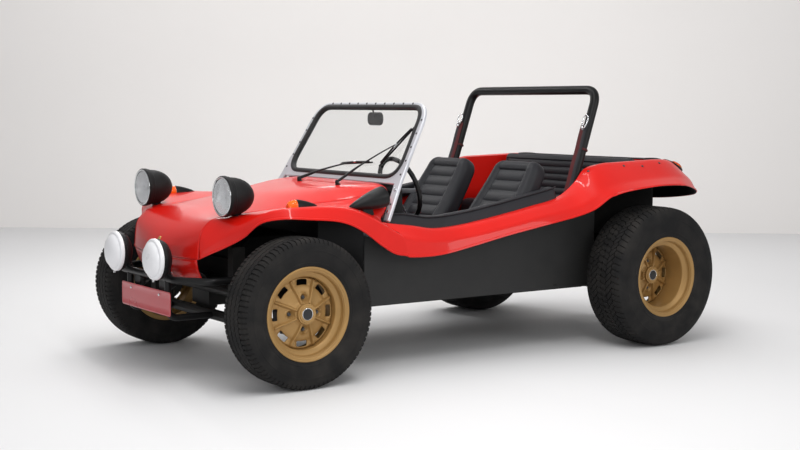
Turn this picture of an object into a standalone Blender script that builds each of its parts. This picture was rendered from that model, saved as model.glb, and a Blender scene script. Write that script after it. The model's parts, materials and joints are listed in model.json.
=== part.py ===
# Short-wheelbase dune buggy: a moulded open body on a floor pan, with a twin-tube
# front beam, a rear engine, deep-dish wheels and a padded two-seat cockpit.
# Metres, +Z up, the front faces -Y, the car's left side is +X, the ground is z = 0.

import math

import bpy
import bmesh
import numpy as np
from mathutils import Matrix, Vector
from mathutils.bvhtree import BVHTree

# Whole car
BODY_HALF_WIDTH = 0.80
BODY_HALF_LENGTH = 1.60
BODY_HEIGHT = 0.96
SHELL = 0.006
GAP = 0.0003
SEAM = 0.0085
LEDGE_WIDTH = 0.022
LEDGE_DROP = 0.020
OVERRUN = 0.02
BODY_STEPS = 1
BONNET_COLUMNS = 11

# Places that follow the body, as shares of its half width, half length and height
FRONT_WHEEL_SHARES = (0.0, -0.6659375, 0.346875)
REAR_WHEEL_SHARES = (0.0, 0.6659375, 0.379167)
INNER_WALL_SHARE = 0.694
PAN_BOTTOM_SHARE = 0.314583
SHELF_SHARES = (0.0, 0.450, 0.604167)
BULKHEAD_SHARE = 0.7625
SIDE_PANEL_SHARES = (-0.400, 0.509375)
FOOTWELL_SHARES = (0.525, -0.500, 0.729167)
TOWER_TOP_SHARE = 0.625
DASH_SHARES = (0.60625, -0.246875, 0.71875)
DASH_TOP_SHARE = 0.908333
SCREEN_FOOT_SHARES = (0.67875, -0.258125, 0.917708)
SCREEN_TOP_WIDTH_SHARE = 0.5725
SCREEN_LEAN_SHARE = 0.336704
POST_FOOT_SHARES = (0.7325, 0.0, 0.191675)
WIPER_PIVOT_SHARE = -0.350
HEADLIGHT_SHARES = (0.51375, -0.805, 0.8625)
BUMPER_SHARES = (0.0, -0.909375, 0.470833)
BUMPER_KNEE_SHARE = 0.68
SPOT_SHARE = 0.2625
INDICATOR_SHARES = (0.750, -0.621875, 0.0)
TAIL_LAMP_SHARES = (0.68125, 0.884375, 0.0)
DOOR_MIRROR_SHARES = (0.700, -0.384375, 0.84375)
SEAT_BASE_SHARES = (-0.1125, 0.1875)
SEAT_BACK_SHARES = (0.0, 0.350, 0.989583)
BENCH_TOP_SHARE = 1.00625
ROLL_TOP_SHARES = (0.63125, 0.540625, 1.384375)
ROLL_FOOT_SHARE = 0.340625
STEERING_SHARES = (0.375, -0.15625, 0.8625)
LEVER_SHARE = -0.125

# Wheels and tyres
FRONT_TYRE_CLEARANCE = 0.0368
REAR_TYRE_CLEARANCE = 0.0463
FRONT_TYRE_WIDTH = 0.188
REAR_TYRE_WIDTH = 0.261
FRONT_RIM_WIDTH = 0.166
REAR_RIM_WIDTH = 0.236
FRONT_DISH = 0.072
REAR_DISH = 0.160
FLANGE_RADIUS = 0.208
FLANGE_THICKNESS = 0.006
BEAD_RADIUS = 0.1905
WELL_RADIUS = 0.165
BARREL_WALL = 0.005
BEAD_LENGTH = 0.030
BOSS_RADIUS = 0.046
BOSS_RISE = 0.060
DISC_THICKNESS = 0.010
HUB_SEAT_RADIUS = 0.075
HUB_SEAT_DEPTH = 0.022
WINDOW_LENGTH = 0.030
WINDOW_HEIGHT = 0.020
RIB_WIDTH = 0.014
RIB_HEIGHT = 0.009
RIB_FOOT_SHARE = 1.5
RIB_START_SHARE = 0.62
RIB_END_SHARE = 0.8
BOSS_EDGE_SHARE = 0.9
SHOULDER_SHARES = (0.40, 1.2)
WINDOW_DEPTH_SHARE = 6.0
DISC_LAP_SHARE = 0.5
TYRE_SEGMENTS = 36
RIM_SEGMENTS = 24
SPOKES = 8

# Front suspension and steering
KINGPIN_INSET = 0.200
BEAM_INSET = 0.145
KINGPIN_RADIUS = 0.017
CARRIER_HALF_HEIGHT = 0.088
BEAM_AHEAD = 0.150
BEAM_RADIUS = 0.025
BEAM_HALF_SPACING = 0.0625
TOWER_WIDTH = 0.050
ARM_WIDTH = 0.020
ARM_HUB_RADIUS = 0.028
ARM_HUB_LENGTH = 0.032
TOWER_DEPTH = 0.060
ARM_HEIGHT = 0.036
LUG_HEIGHT = 0.020
LUG_RADIUS = 0.027
UPRIGHT_WIDTH = 0.045
PIN_CLEARANCE = 0.0004
DRUM_RADIUS = 0.115
DRUM_DEPTH = 0.055
HUB_NOSE_RADIUS = 0.034
HUB_NOSE_LENGTH = 0.014

# Floor pan and rear suspension
PAN_OVERHANG = 0.0048
TORSION_INSET = 0.0752
TORSION_STAND_OFF = 0.080
GEARBOX_STAND_OFF = 0.015
PAN_THICKNESS = 0.020
TUNNEL_HALF_WIDTH = 0.085
TUNNEL_HEIGHT = 0.120
TORSION_RADIUS = 0.060
HOUSING_SEGMENTS = 16
DRUM_SEGMENTS = 18
SPRING_PLATE_THICKNESS = 0.012
SPRING_PLATE_HEIGHT = 0.070
AXLE_TUBE_RADIUS = 0.034
GEARBOX_RADIUS = 0.120

# Engine
ENGINE_STAND_OFF = 0.015
CRANK_RISE = 0.0174
SHROUD_RISE = 0.095
MUFFLER_DROP = 0.1406
ENGINE_LENGTH = 0.300
CRANKCASE_HALF_WIDTH = 0.140
CRANKCASE_HEIGHT = 0.190
CYLINDER_RADIUS = 0.062
CYLINDER_LENGTH = 0.130
FINS = 5
HEAD_DEPTH_SHARE = 0.94
HEAD_HEIGHT_SHARE = 2.1
HEAD_LAP_SHARE = 0.25
HEAD_LENGTH = 0.070
SHROUD_HALF_WIDTH = 0.300
SHROUD_HEIGHT = 0.270
SHROUD_DEPTH = 0.110
SHROUD_SHOULDER_SHARE = 0.35
FAN_RISE_SHARE = 0.55
GENERATOR_RADIUS = 0.047
PEDESTAL_RADIUS = 0.034
PEDESTAL_SHARE = 0.8
PULLEY_RADIUS = 0.085
PULLEY_WIDTH = 0.024
MUFFLER_RADIUS = 0.058
MUFFLER_HALF_LENGTH = 0.300
TAILPIPE_RADIUS = 0.019
TAILPIPE_REACH = 0.075
LINK_RADIUS = 0.023
TAILPIPE_X = 0.110
HEADER_RADIUS = 0.019

# Cockpit
SIDE_PANEL_LIFT = 0.003
TRIM_BOARD = 0.012
SIDE_PANEL_THICKNESS = 0.006
SIDE_PANEL_TUCK = 0.035
DASH_DEPTH = 0.070
DASH_ROLL_SHARE = 0.6
PAD_RADIUS = 0.032
PAD_RISE = 0.030
PAD_SEAT = math.radians(30.0)
PAD_CLEARANCE = 0.0005

# Windscreen, whose plane leans back from its foot
SCREEN_HEIGHT = 0.408
POST_WIDTH = 0.044
RAIL_WIDTH = 0.036
SILL_RAIL_WIDTH = 0.042
SCREEN_THICKNESS = 0.018
SCREEN_CORNER = 0.060
GLASS_CORNER = 0.032
GLASS_THICKNESS = 0.005
MIRROR_WIDTH = 0.130
MIRROR_HEIGHT = 0.052
MIRROR_THICKNESS = 0.016
MIRROR_STEM = 0.0085
MIRROR_ROUND_SHARE = 0.6
MIRROR_STAND_OFF = 0.045
WIPER_BLADE = 0.240
WIPER_WIDTH = 0.008
WIPER_PIVOT_RADIUS = 0.011
WIPER_PIVOT_HEIGHT = 0.016

# Lamps, bumper and plate
HEADLIGHT_RADIUS = 0.098
HEADLIGHT_LENGTH = 0.150
STALK_RADIUS = 0.014
FLANGE_FOOT_RADIUS = 0.025
SPOT_POST_RADIUS = 0.011
SPOT_POST_SHARE = 0.6
SPOT_AHEAD = 0.097
SPOT_RISE = 0.092
SPOT_RADIUS = 0.087
SPOT_LENGTH = 0.078
BUMPER_RADIUS = 0.017
BUMPER_BEND = 0.050
HOOP_RADIUS = 0.0155
HOOP_X = 0.200
HOOP_DROP = 0.030
PLATE_WIDTH = 0.520
PLATE_DROP = 0.110
PLATE_HEIGHT = 0.110
PLATE_THICKNESS = 0.003
INDICATOR_LENGTH = 0.160
INDICATOR_RADIUS = 0.034
TAIL_LAMP_LENGTH = 0.130
TAIL_LAMP_RADIUS = 0.040
TAIL_LAMP_WIDTH_SHARE = 0.8
TAIL_LAMP_SINK_SHARE = 0.2
TAIL_LAMP_PROFILE_SHARES = ((0.0, 0.0), (0.0, 1.0), (0.5, 1.0), (0.7, 0.7), (0.8, 0.0))
DOOR_MIRROR_LENGTH = 0.200
DOOR_MIRROR_RADIUS = 0.050
TAIL_LAMP_SLOPE = math.radians(26.0)
BODY_TRIM = 0.012

# Seats, roll bar and driver's controls
SEAT_ROOM = 0.0702
SEAT_CLEARANCE = 0.005
BENCH_CLEARANCE = 0.0352
ROLL_CLEARANCE = 0.0312
SEAT_BASE_HEIGHT = 0.200
SEAT_THICKNESS = 0.100
SEAT_TOP_SHARES = (0.7, 0.3)
SEAT_ROUND_SHARE = 0.35
SEAT_TAPER_SHARE = 0.36
SEAT_HOLLOW_SHARE = 0.6
BOLSTER_WIDTH = 0.085
BOLSTER_RISE = 0.050
BENCH_THICKNESS = 0.090
BENCH_CUSHION = 0.120
BENCH_DIP_SHARE = 0.9
BENCH_ROUND_SHARE = 0.3
ROLL_RADIUS = 0.024
ROLL_BEND = 0.080
STEERING_TILT = math.radians(18.0)
STEERING_RADIUS = 0.155
STEERING_RIM = 0.010
STEERING_HUB = 0.026
STEERING_STEPS = 24
SPOKE_WIDTH = 0.022
SPOKE_THICKNESS = 0.005
COLUMN_RADIUS = 0.018
COLUMN_CLEARANCE = 0.001
LEVER_RADIUS = 0.007
BOOT_RADIUS = 0.028
BOOT_HEIGHT = 0.028
KNOB_RADIUS = 0.017
KNOB_HEIGHT = 0.035
KNOB_PROFILE_SHARES = ((0.0, 0.0), (0.2, 0.82), (0.6, 1.0), (1.0, 0.0))
LEVER_HEIGHT = 0.260

# Fender strip, front corner to tail centre. Each row is one station: the seam (or
# cockpit edge), the crown, the ridge and the lip, as x, y, z shares of the body's
# half width, half length and height.
FENDER_SHARES = (
    ((0.422, -0.855, 0.627), (0.424, -0.856, 0.609), (0.424, -0.856, 0.590), (0.425, -0.856, 0.569)),
    ((0.424, -0.850, 0.685), (0.452, -0.844, 0.660), (0.481, -0.841, 0.632), (0.487, -0.835, 0.597)),
    ((0.426, -0.836, 0.723), (0.494, -0.819, 0.711), (0.556, -0.811, 0.683), (0.562, -0.807, 0.631)),
    ((0.432, -0.812, 0.754), (0.537, -0.784, 0.758), (0.647, -0.780, 0.735), (0.652, -0.778, 0.677)),
    ((0.447, -0.772, 0.769), (0.587, -0.744, 0.783), (0.737, -0.750, 0.788), (0.752, -0.753, 0.746)),
    ((0.460, -0.731, 0.777), (0.631, -0.706, 0.799), (0.806, -0.706, 0.816), (0.830, -0.709, 0.767)),
    ((0.472, -0.675, 0.786), (0.662, -0.650, 0.811), (0.835, -0.644, 0.821), (0.869, -0.644, 0.763)),
    ((0.512, -0.562, 0.806), (0.688, -0.544, 0.819), (0.836, -0.537, 0.816), (0.875, -0.537, 0.746)),
    ((0.537, -0.500, 0.817), (0.700, -0.481, 0.813), (0.833, -0.456, 0.789), (0.866, -0.462, 0.700)),
    ((0.569, -0.437, 0.826), (0.710, -0.425, 0.792), (0.826, -0.394, 0.744), (0.856, -0.394, 0.627)),
    ((0.612, -0.375, 0.840), (0.716, -0.369, 0.755), (0.820, -0.341, 0.695), (0.845, -0.341, 0.579)),
    ((0.669, -0.307, 0.823), (0.718, -0.339, 0.726), (0.812, -0.300, 0.662), (0.835, -0.294, 0.563)),
    ((0.688, -0.338, 0.722), (0.732, -0.337, 0.721), (0.811, -0.287, 0.654), (0.834, -0.281, 0.556)),
    ((0.694, -0.237, 0.700), (0.747, -0.237, 0.696), (0.807, -0.219, 0.631), (0.828, -0.212, 0.552)),
    ((0.694, -0.156, 0.681), (0.752, -0.156, 0.678), (0.807, -0.150, 0.623), (0.825, -0.137, 0.561)),
    ((0.694, -0.050, 0.692), (0.752, -0.050, 0.688), (0.809, -0.044, 0.640), (0.826, -0.031, 0.592)),
    ((0.694, 0.075, 0.723), (0.754, 0.075, 0.717), (0.814, 0.081, 0.675), (0.833, 0.088, 0.631)),
    ((0.694, 0.225, 0.768), (0.757, 0.225, 0.759), (0.828, 0.231, 0.721), (0.850, 0.237, 0.675)),
    ((0.694, 0.350, 0.811), (0.762, 0.350, 0.803), (0.846, 0.353, 0.757), (0.876, 0.356, 0.713)),
    ((0.694, 0.419, 0.880), (0.771, 0.419, 0.856), (0.870, 0.416, 0.800), (0.902, 0.422, 0.749)),
    ((0.694, 0.462, 0.953), (0.762, 0.466, 0.934), (0.880, 0.459, 0.842), (0.938, 0.472, 0.811)),
    ((0.694, 0.519, 0.979), (0.752, 0.519, 0.975), (0.881, 0.519, 0.875), (0.965, 0.519, 0.840)),
    ((0.694, 0.606, 0.986), (0.750, 0.606, 0.985), (0.882, 0.606, 0.894), (0.988, 0.606, 0.861)),
    ((0.694, 0.700, 0.992), (0.750, 0.700, 0.991), (0.885, 0.700, 0.904), (0.990, 0.688, 0.870)),
    ((0.694, 0.787, 0.997), (0.747, 0.787, 0.995), (0.877, 0.787, 0.908), (0.971, 0.781, 0.866)),
    ((0.681, 0.850, 0.993), (0.727, 0.856, 0.984), (0.844, 0.862, 0.904), (0.921, 0.856, 0.846)),
    ((0.647, 0.900, 0.969), (0.694, 0.912, 0.938), (0.797, 0.919, 0.878), (0.850, 0.919, 0.818)),
    ((0.550, 0.934, 0.946), (0.587, 0.956, 0.904), (0.662, 0.966, 0.842), (0.712, 0.963, 0.789)),
    ((0.325, 0.947, 0.938), (0.338, 0.969, 0.894), (0.362, 0.983, 0.823), (0.387, 0.979, 0.759)),
    ((0.000, 0.950, 0.933), (0.000, 0.974, 0.890), (0.000, 0.988, 0.818), (0.000, 0.984, 0.752)),
)
COCKPIT_FIRST = 12
SHELF_FIRST = 20
PAD_LAST = 18
TAIL_FIRST = 24
BOW_POWER_SHARE = 2.2
DECK_SPAN_SHARES = (0.04, 0.5, 0.92)
DECK_WIDTH_SHARE = 0.94
DOOR_MIRROR_RISE_SHARE = 0.22
TEARDROP_FLAT_SHARE = 0.7
FIN_SHARES = ((0.05, 0.75), (0.28, 0.75), (0.32, 1.0), (0.68, 1.0), (0.72, 0.75), (0.95, 0.75))
SQUARE = ((-1, -1), (1, -1), (1, 1), (-1, 1))

# Bonnet's centre line, from the nose's lower edge and then at each seam station,
# as y and z shares of the body's half length and height.
BONNET_SHARES = (
    (-0.882, 0.564), (-0.879, 0.622), (-0.868, 0.662), (-0.849, 0.702), (-0.815, 0.742), (-0.762, 0.779),
    (-0.719, 0.800), (-0.669, 0.820), (-0.562, 0.852), (-0.500, 0.867), (-0.437, 0.881), (-0.356, 0.896),
    (-0.269, 0.904),
)
NOSE_EDGE_SHARES = (0.4235, -0.857, 0.567)

# Lower panel under the nose: its edge from the centre outwards, top then bottom.
VALANCE_SHARES = (
    ((0.000, -0.8815, 0.5630), (0.000, -0.846, 0.440)),
    ((0.200, -0.8770, 0.5635), (0.185, -0.842, 0.441)),
    ((0.405, -0.8590, 0.5655), (0.370, -0.826, 0.449)),
)

# Turned outlines. Tyre: half-width share, share of the way from flange to tread.
TYRE_SHARES = (
    (0.92, 0.18), (1.00, 0.50), (0.945, 0.86), (0.80, 0.985), (0.0, 1.0),
    (-0.80, 0.985), (-0.945, 0.86), (-1.00, 0.50), (-0.92, 0.18),
)
# Headlight: share of its length behind the lens, share of its radius.
HEADLIGHT_PROFILE_SHARES = (
    (-0.12, 0.0), (-0.09, 0.42), (-0.02, 0.86), (-0.06, 0.93), (-0.03, 1.0), (0.10, 1.0),
    (0.14, 0.96), (0.38, 0.92), (0.62, 0.80), (0.80, 0.60), (0.94, 0.32), (1.0, 0.0),
)
SPOT_PROFILE_SHARES = (
    (0.0, 0.0), (0.05, 0.55), (0.16, 0.88), (0.24, 1.0), (0.40, 1.0), (0.42, 0.95),
    (0.70, 0.86), (0.92, 0.55), (1.0, 0.0),
)
TEARDROP_PROFILE_SHARES = (
    (0.0, 0.0), (0.03, 0.62), (0.14, 0.92), (0.34, 1.0), (0.62, 0.78), (0.86, 0.42), (1.0, 0.0),
)
BULLET_PROFILE_SHARES = (
    (0.0, 0.0), (0.05, 0.16), (0.30, 0.50), (0.60, 0.84), (0.86, 1.0), (1.0, 1.0), (1.0, 0.0),
)

# Worked-out places
BODY_SIZE = np.array((BODY_HALF_WIDTH, BODY_HALF_LENGTH, BODY_HEIGHT))
INNER_WALL_X = INNER_WALL_SHARE * BODY_HALF_WIDTH
_, FRONT_AXLE_Y, FRONT_TYRE_RADIUS = FRONT_WHEEL_SHARES * BODY_SIZE
_, REAR_AXLE_Y, REAR_TYRE_RADIUS = REAR_WHEEL_SHARES * BODY_SIZE
FRONT_AXLE_Z = FRONT_TYRE_RADIUS * math.cos(math.pi / TYRE_SEGMENTS)
REAR_AXLE_Z = REAR_TYRE_RADIUS * math.cos(math.pi / TYRE_SEGMENTS)
FRONT_LIP_X = INNER_WALL_X + SHELL + FRONT_TYRE_CLEARANCE + (FRONT_RIM_WIDTH + FRONT_TYRE_WIDTH) / 2
REAR_LIP_X = INNER_WALL_X + SHELL + REAR_TYRE_CLEARANCE + (REAR_RIM_WIDTH + REAR_TYRE_WIDTH) / 2
KINGPIN_X = FRONT_LIP_X - KINGPIN_INSET
BEAM_HALF_LENGTH = KINGPIN_X - BEAM_INSET
BEAM_Y = FRONT_AXLE_Y - BEAM_AHEAD
TOWER_TOP = TOWER_TOP_SHARE * BODY_HEIGHT
PAN_BOTTOM = PAN_BOTTOM_SHARE * BODY_HEIGHT
PAN_HALF_WIDTH = INNER_WALL_X + PAN_OVERHANG
TORSION_HALF_LENGTH = INNER_WALL_X - TORSION_INSET
_, REAR_SHELF_Y, REAR_SHELF_Z = SHELF_SHARES * BODY_SIZE
TORSION_Y = REAR_SHELF_Y + TORSION_STAND_OFF
BULKHEAD_Y = BULKHEAD_SHARE * BODY_HALF_LENGTH
ENGINE_FRONT = BULKHEAD_Y + ENGINE_STAND_OFF
CRANK_HEIGHT = REAR_AXLE_Z + CRANK_RISE
SHROUD_BOTTOM = CRANK_HEIGHT + SHROUD_RISE
MUFFLER_Z = REAR_AXLE_Z - MUFFLER_DROP
SIDE_PANEL_FRONT, SIDE_PANEL_REAR = (share * BODY_HALF_LENGTH for share in SIDE_PANEL_SHARES)
SIDE_PANEL_BOTTOM = PAN_BOTTOM + SIDE_PANEL_LIFT
FOOTWELL_FRONT_HALF_WIDTH, FOOTWELL_FRONT, FOOTWELL_TOP = FOOTWELL_SHARES * BODY_SIZE
DASH_HALF_WIDTH, DASH_Y, DASH_BOTTOM = DASH_SHARES * BODY_SIZE
DASH_TOP = DASH_TOP_SHARE * BODY_HEIGHT
SCREEN_FOOT_HALF_WIDTH, SCREEN_FOOT_Y, SCREEN_FOOT_Z = SCREEN_FOOT_SHARES * BODY_SIZE
SCREEN_TOP_HALF_WIDTH = SCREEN_TOP_WIDTH_SHARE * BODY_HALF_WIDTH
SCREEN_LEAN = math.atan(SCREEN_LEAN_SHARE * BODY_HALF_LENGTH / BODY_HEIGHT)
POST_FOOT_HALF_WIDTH, _, POST_HEIGHT = POST_FOOT_SHARES * BODY_SIZE
POST_DROP = POST_HEIGHT / math.cos(SCREEN_LEAN)
WIPER_PIVOT_Y = WIPER_PIVOT_SHARE * BODY_HALF_LENGTH
HEADLIGHT_X, HEADLIGHT_Y, HEADLIGHT_Z = HEADLIGHT_SHARES * BODY_SIZE
_, BUMPER_Y, BUMPER_Z = BUMPER_SHARES * BODY_SIZE
SPOT_X = SPOT_SHARE * BODY_HALF_WIDTH
SPOT_FRONT = BUMPER_Y - SPOT_AHEAD
SPOT_Z = BUMPER_Z + SPOT_RISE
HOOP_BOTTOM = PAN_BOTTOM - HOOP_DROP
PLATE_Z = BUMPER_Z - PLATE_DROP
INDICATOR_X, INDICATOR_Y, _ = INDICATOR_SHARES * BODY_SIZE
TAIL_LAMP_X, TAIL_LAMP_Y, _ = TAIL_LAMP_SHARES * BODY_SIZE
DOOR_MIRROR_X, DOOR_MIRROR_Y, DOOR_MIRROR_Z = DOOR_MIRROR_SHARES * BODY_SIZE
SEAT_WIDTH = INNER_WALL_X - TUNNEL_HALF_WIDTH - SEAT_ROOM
SEAT_X = TUNNEL_HALF_WIDTH + SEAT_CLEARANCE + SEAT_WIDTH / 2
SEAT_BASE_FRONT, SEAT_BASE_BACK = (share * BODY_HALF_LENGTH for share in SEAT_BASE_SHARES)
_, SEAT_BACK_TOP_Y, SEAT_BACK_TOP_Z = SEAT_BACK_SHARES * BODY_SIZE
BENCH_HALF_WIDTH = INNER_WALL_X - BENCH_CLEARANCE
BENCH_TOP = BENCH_TOP_SHARE * BODY_HEIGHT
ROLL_TOP_HALF_WIDTH, ROLL_TOP_Y, ROLL_TOP_Z = ROLL_TOP_SHARES * BODY_SIZE
ROLL_FOOT_HALF_WIDTH = INNER_WALL_X - ROLL_CLEARANCE
ROLL_FOOT_Y = ROLL_FOOT_SHARE * BODY_HALF_LENGTH
STEERING_X, STEERING_Y, STEERING_Z = STEERING_SHARES * BODY_SIZE
LEVER_Y = LEVER_SHARE * BODY_HALF_LENGTH

# Wipers: side, pivot x and blade middle x as shares of the half width, blade middle up
# the screen as a share of its height, blade tilt
WIPER_SHARES = (
    ("left", 0.3375, 0.460, 0.367647, math.radians(58.0)),
    ("right", -0.100, 0.14375, 0.183824, math.radians(4.0)),
)

# Names and sides of the left and right pieces
SIDES = (("left", 1.0), ("right", -1.0))


def clear_scene():
    for item in list(bpy.data.objects):
        bpy.data.objects.remove(item, do_unlink=True)


def make_material(name, colour, roughness, metallic=0.0):
    material = bpy.data.materials.new(name)
    material.use_nodes = True
    shader = material.node_tree.nodes["Principled BSDF"]
    shader.inputs["Base Color"].default_value = (*colour, 1.0)
    shader.inputs["Roughness"].default_value = roughness
    shader.inputs["Metallic"].default_value = metallic
    material.diffuse_color = (*colour, 1.0)
    return material


def link_object(name, mesh):
    item = bpy.data.objects.new(name, mesh)
    bpy.context.scene.collection.objects.link(item)
    return item


def from_faces(name, vertices, faces):
    # A closed mesh from lists of points and faces, turned to face outwards.
    mesh = bpy.data.meshes.new(name)
    mesh.from_pydata([tuple(v) for v in vertices], [], faces)
    solid = bmesh.new()
    solid.from_mesh(mesh)
    bmesh.ops.recalc_face_normals(solid, faces=solid.faces)
    if solid.calc_volume(signed=True) < 0.0:
        bmesh.ops.reverse_faces(solid, faces=solid.faces)
    solid.to_mesh(mesh)
    solid.free()
    return link_object(name, mesh)


def bake(item):
    # Swaps the object's mesh for its evaluated one and drops its modifiers.
    graph = bpy.context.evaluated_depsgraph_get()
    baked = bpy.data.meshes.new_from_object(item.evaluated_get(graph))
    item.modifiers.clear()
    item.data = baked
    return item


def combine(item, others, operation):
    # Boolean of one object with each of the others, which are then removed.
    for other in others:
        step = item.modifiers.new("join", "BOOLEAN")
        step.operation = operation
        step.solver = "EXACT"
        step.object = other
        bake(item)
    for other in others:
        bpy.data.objects.remove(other, do_unlink=True)
    return item


def fuse(name, pieces):
    first = pieces[0]
    combine(first, pieces[1:], "UNION")
    first.name = name
    return first


def cut(item, cutters):
    return combine(item, cutters, "DIFFERENCE")


def finish(item, material, angle=32.0):
    item.data.materials.clear()
    item.data.materials.append(material)
    item.data.shade_smooth()
    item.data.set_sharp_from_angle(angle=math.radians(angle))
    return item


def box(name, size, centre, turn=None):
    half = Vector(size) / 2
    signs = [(a, b, c) for a in (-1, 1) for b in (-1, 1) for c in (-1, 1)]
    points = [Vector((a * half.x, b * half.y, c * half.z)) for a, b, c in signs]
    if turn is not None:
        points = [turn @ p for p in points]
    points = [p + Vector(centre) for p in points]
    faces = [(0, 1, 3, 2), (4, 6, 7, 5), (0, 4, 5, 1), (2, 3, 7, 6), (0, 2, 6, 4), (1, 5, 7, 3)]
    return from_faces(name, points, faces)


def join_rings(name, rings, closed=False):
    # Skins equal rings of points; open chains of rings get a face on each end.
    size = len(rings[0])
    points = [p for ring in rings for p in ring]
    count = len(rings) if closed else len(rings) - 1
    faces = []
    for i in range(count):
        low, high = i * size, (i + 1) % len(rings) * size
        for j in range(size):
            k = (j + 1) % size
            faces.append((low + j, low + k, high + k, high + j))
    if not closed:
        faces.append(tuple(range(size)))
        faces.append(tuple((len(rings) - 1) * size + j for j in range(size)))
    return from_faces(name, points, faces)


def turned(name, profile, segments, centre, axis, closed=False):
    # Spins (along, radius) points about an axis; an open profile ends on the axis.
    axis = Vector(axis).normalized()
    side = axis.orthogonal().normalized()
    up = axis.cross(side)
    points, rows = [], []
    for along, radius in profile:
        if radius == 0:
            rows.append([len(points)])
            points.append(Vector(centre) + axis * along)
            continue
        rows.append(list(range(len(points), len(points) + segments)))
        for k in range(segments):
            angle = 2 * math.pi * (k + 0.5) / segments
            ray = side * math.cos(angle) + up * math.sin(angle)
            points.append(Vector(centre) + axis * along + ray * radius)
    pairs = list(zip(rows, rows[1:]))
    if closed:
        pairs.append((rows[-1], rows[0]))
    faces = []
    for low, high in pairs:
        for k in range(segments):
            n = (k + 1) % segments
            if len(low) == 1:
                faces.append((low[0], high[k], high[n]))
            elif len(high) == 1:
                faces.append((low[k], low[n], high[0]))
            else:
                faces.append((low[k], low[n], high[n], high[k]))
    return from_faces(name, points, faces)


def rod(name, start, end, radius, segments=12):
    start, end = Vector(start), Vector(end)
    length = (end - start).length
    profile = [(0.0, 0.0), (0.0, radius), (length, radius), (length, 0.0)]
    return turned(name, profile, segments, start, end - start)


def rounded(points, radius, steps=3, closed=False):
    # Replaces each inner corner of a path by an arc of the given radius.
    points = [Vector(p) for p in points]
    path = []
    last = len(points) - 1
    for i, corner in enumerate(points):
        if not closed and i in (0, last):
            path.append(corner)
            continue
        before = points[i - 1] - corner
        after = points[(i + 1) % len(points)] - corner
        inside = before.angle(after)
        reach = min(radius / math.tan(inside / 2), before.length * 0.49, after.length * 0.49)
        start = corner + before.normalized() * reach
        end = corner + after.normalized() * reach
        for k in range(steps + 1):
            t = k / steps
            path.append(start * (1 - t) ** 2 + corner * 2 * t * (1 - t) + end * t**2)
    return path


def tube(name, points, radius, sides=10, bend=None, closed=False):
    # Sweeps a circle along a path without twisting it.
    path = rounded(points, bend, closed=closed) if bend else [Vector(p) for p in points]
    count = len(path)
    normal = None
    rings = []
    for i, point in enumerate(path):
        ahead = path[(i + 1) % count] if closed or i < count - 1 else point
        behind = path[i - 1] if closed or i > 0 else point
        tangent = (ahead - behind).normalized()
        normal = tangent.orthogonal() if normal is None else normal - tangent * normal.dot(tangent)
        normal.normalize()
        across = tangent.cross(normal)
        turn = [2 * math.pi * k / sides for k in range(sides)]
        rings.append([point + (normal * math.cos(a) + across * math.sin(a)) * radius for a in turn])
    return join_rings(name, rings, closed)


def prism(name, outline, thickness, origin=(0, 0, 0), right=(1, 0, 0), up=(0, 0, 1)):
    # Extrudes a plane outline equally to both sides of its plane.
    right, up = Vector(right), Vector(up)
    out = right.cross(up).normalized() * (thickness / 2)
    flat = [Vector(origin) + right * p[0] + up * p[1] for p in outline]
    return join_rings(name, [[p - out for p in flat], [p + out for p in flat]])


def smooth_rows(rows, steps):
    # Passes a Catmull-Rom curve through each column of a grid of points.
    grid = np.array(rows, dtype=float)
    padded = np.concatenate((grid[:1] * 2 - grid[1:2], grid, grid[-1:] * 2 - grid[-2:-1]))
    fine = []
    for i in range(1, len(grid)):
        a, b, c, d = padded[i - 1 : i + 3]
        for k in range(steps):
            t = k / steps
            fine.append(0.5 * (2 * b + (c - a) * t + (2 * a - 5 * b + 4 * c - d) * t**2
                               + (3 * b - a - 3 * c + d) * t**3))
    fine.append(grid[-1])
    return np.array(fine)


def thick_sheet(name, grids, thickness, offset=-1.0):
    # Welds grids of points into one sheet and gives it a wall on its back.
    points, faces = [], []
    for grid in grids:
        start = len(points)
        rows, columns = grid.shape[:2]
        points.extend(Vector(p) for p in grid.reshape(-1, 3))
        for i in range(rows - 1):
            for j in range(columns - 1):
                a = start + i * columns + j
                faces.append((a, a + 1, a + columns + 1, a + columns))
    mesh = bpy.data.meshes.new(name)
    mesh.from_pydata(points, [], faces)
    sheet = bmesh.new()
    sheet.from_mesh(mesh)
    bmesh.ops.remove_doubles(sheet, verts=sheet.verts, dist=GAP / 10)
    bmesh.ops.dissolve_degenerate(sheet, edges=sheet.edges, dist=GAP / 10)
    bmesh.ops.triangulate(sheet, faces=sheet.faces, quad_method="FIXED")
    sheet.to_mesh(mesh)
    sheet.free()
    item = link_object(name, mesh)
    wall = item.modifiers.new("wall", "SOLIDIFY")
    wall.thickness = thickness
    wall.offset = offset
    wall.use_even_offset = True
    wall.use_rim = True
    return bake(item)


def screen_point(x, v, out=0.0):
    # A point on the windscreen's plane, v up its slope and out in front of it.
    along = Vector((0.0, math.sin(SCREEN_LEAN), math.cos(SCREEN_LEAN)))
    front = Vector((0.0, -math.cos(SCREEN_LEAN), math.sin(SCREEN_LEAN)))
    return Vector((x, SCREEN_FOOT_Y, SCREEN_FOOT_Z)) + along * v + front * out


def screen_front(z):
    # Where the front of the windscreen's frame lies, along the car, at a height.
    ahead = SCREEN_THICKNESS / 2 / math.cos(SCREEN_LEAN) + SHELL
    return SCREEN_FOOT_Y + (z - SCREEN_FOOT_Z) * math.tan(SCREEN_LEAN) - ahead


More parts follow.
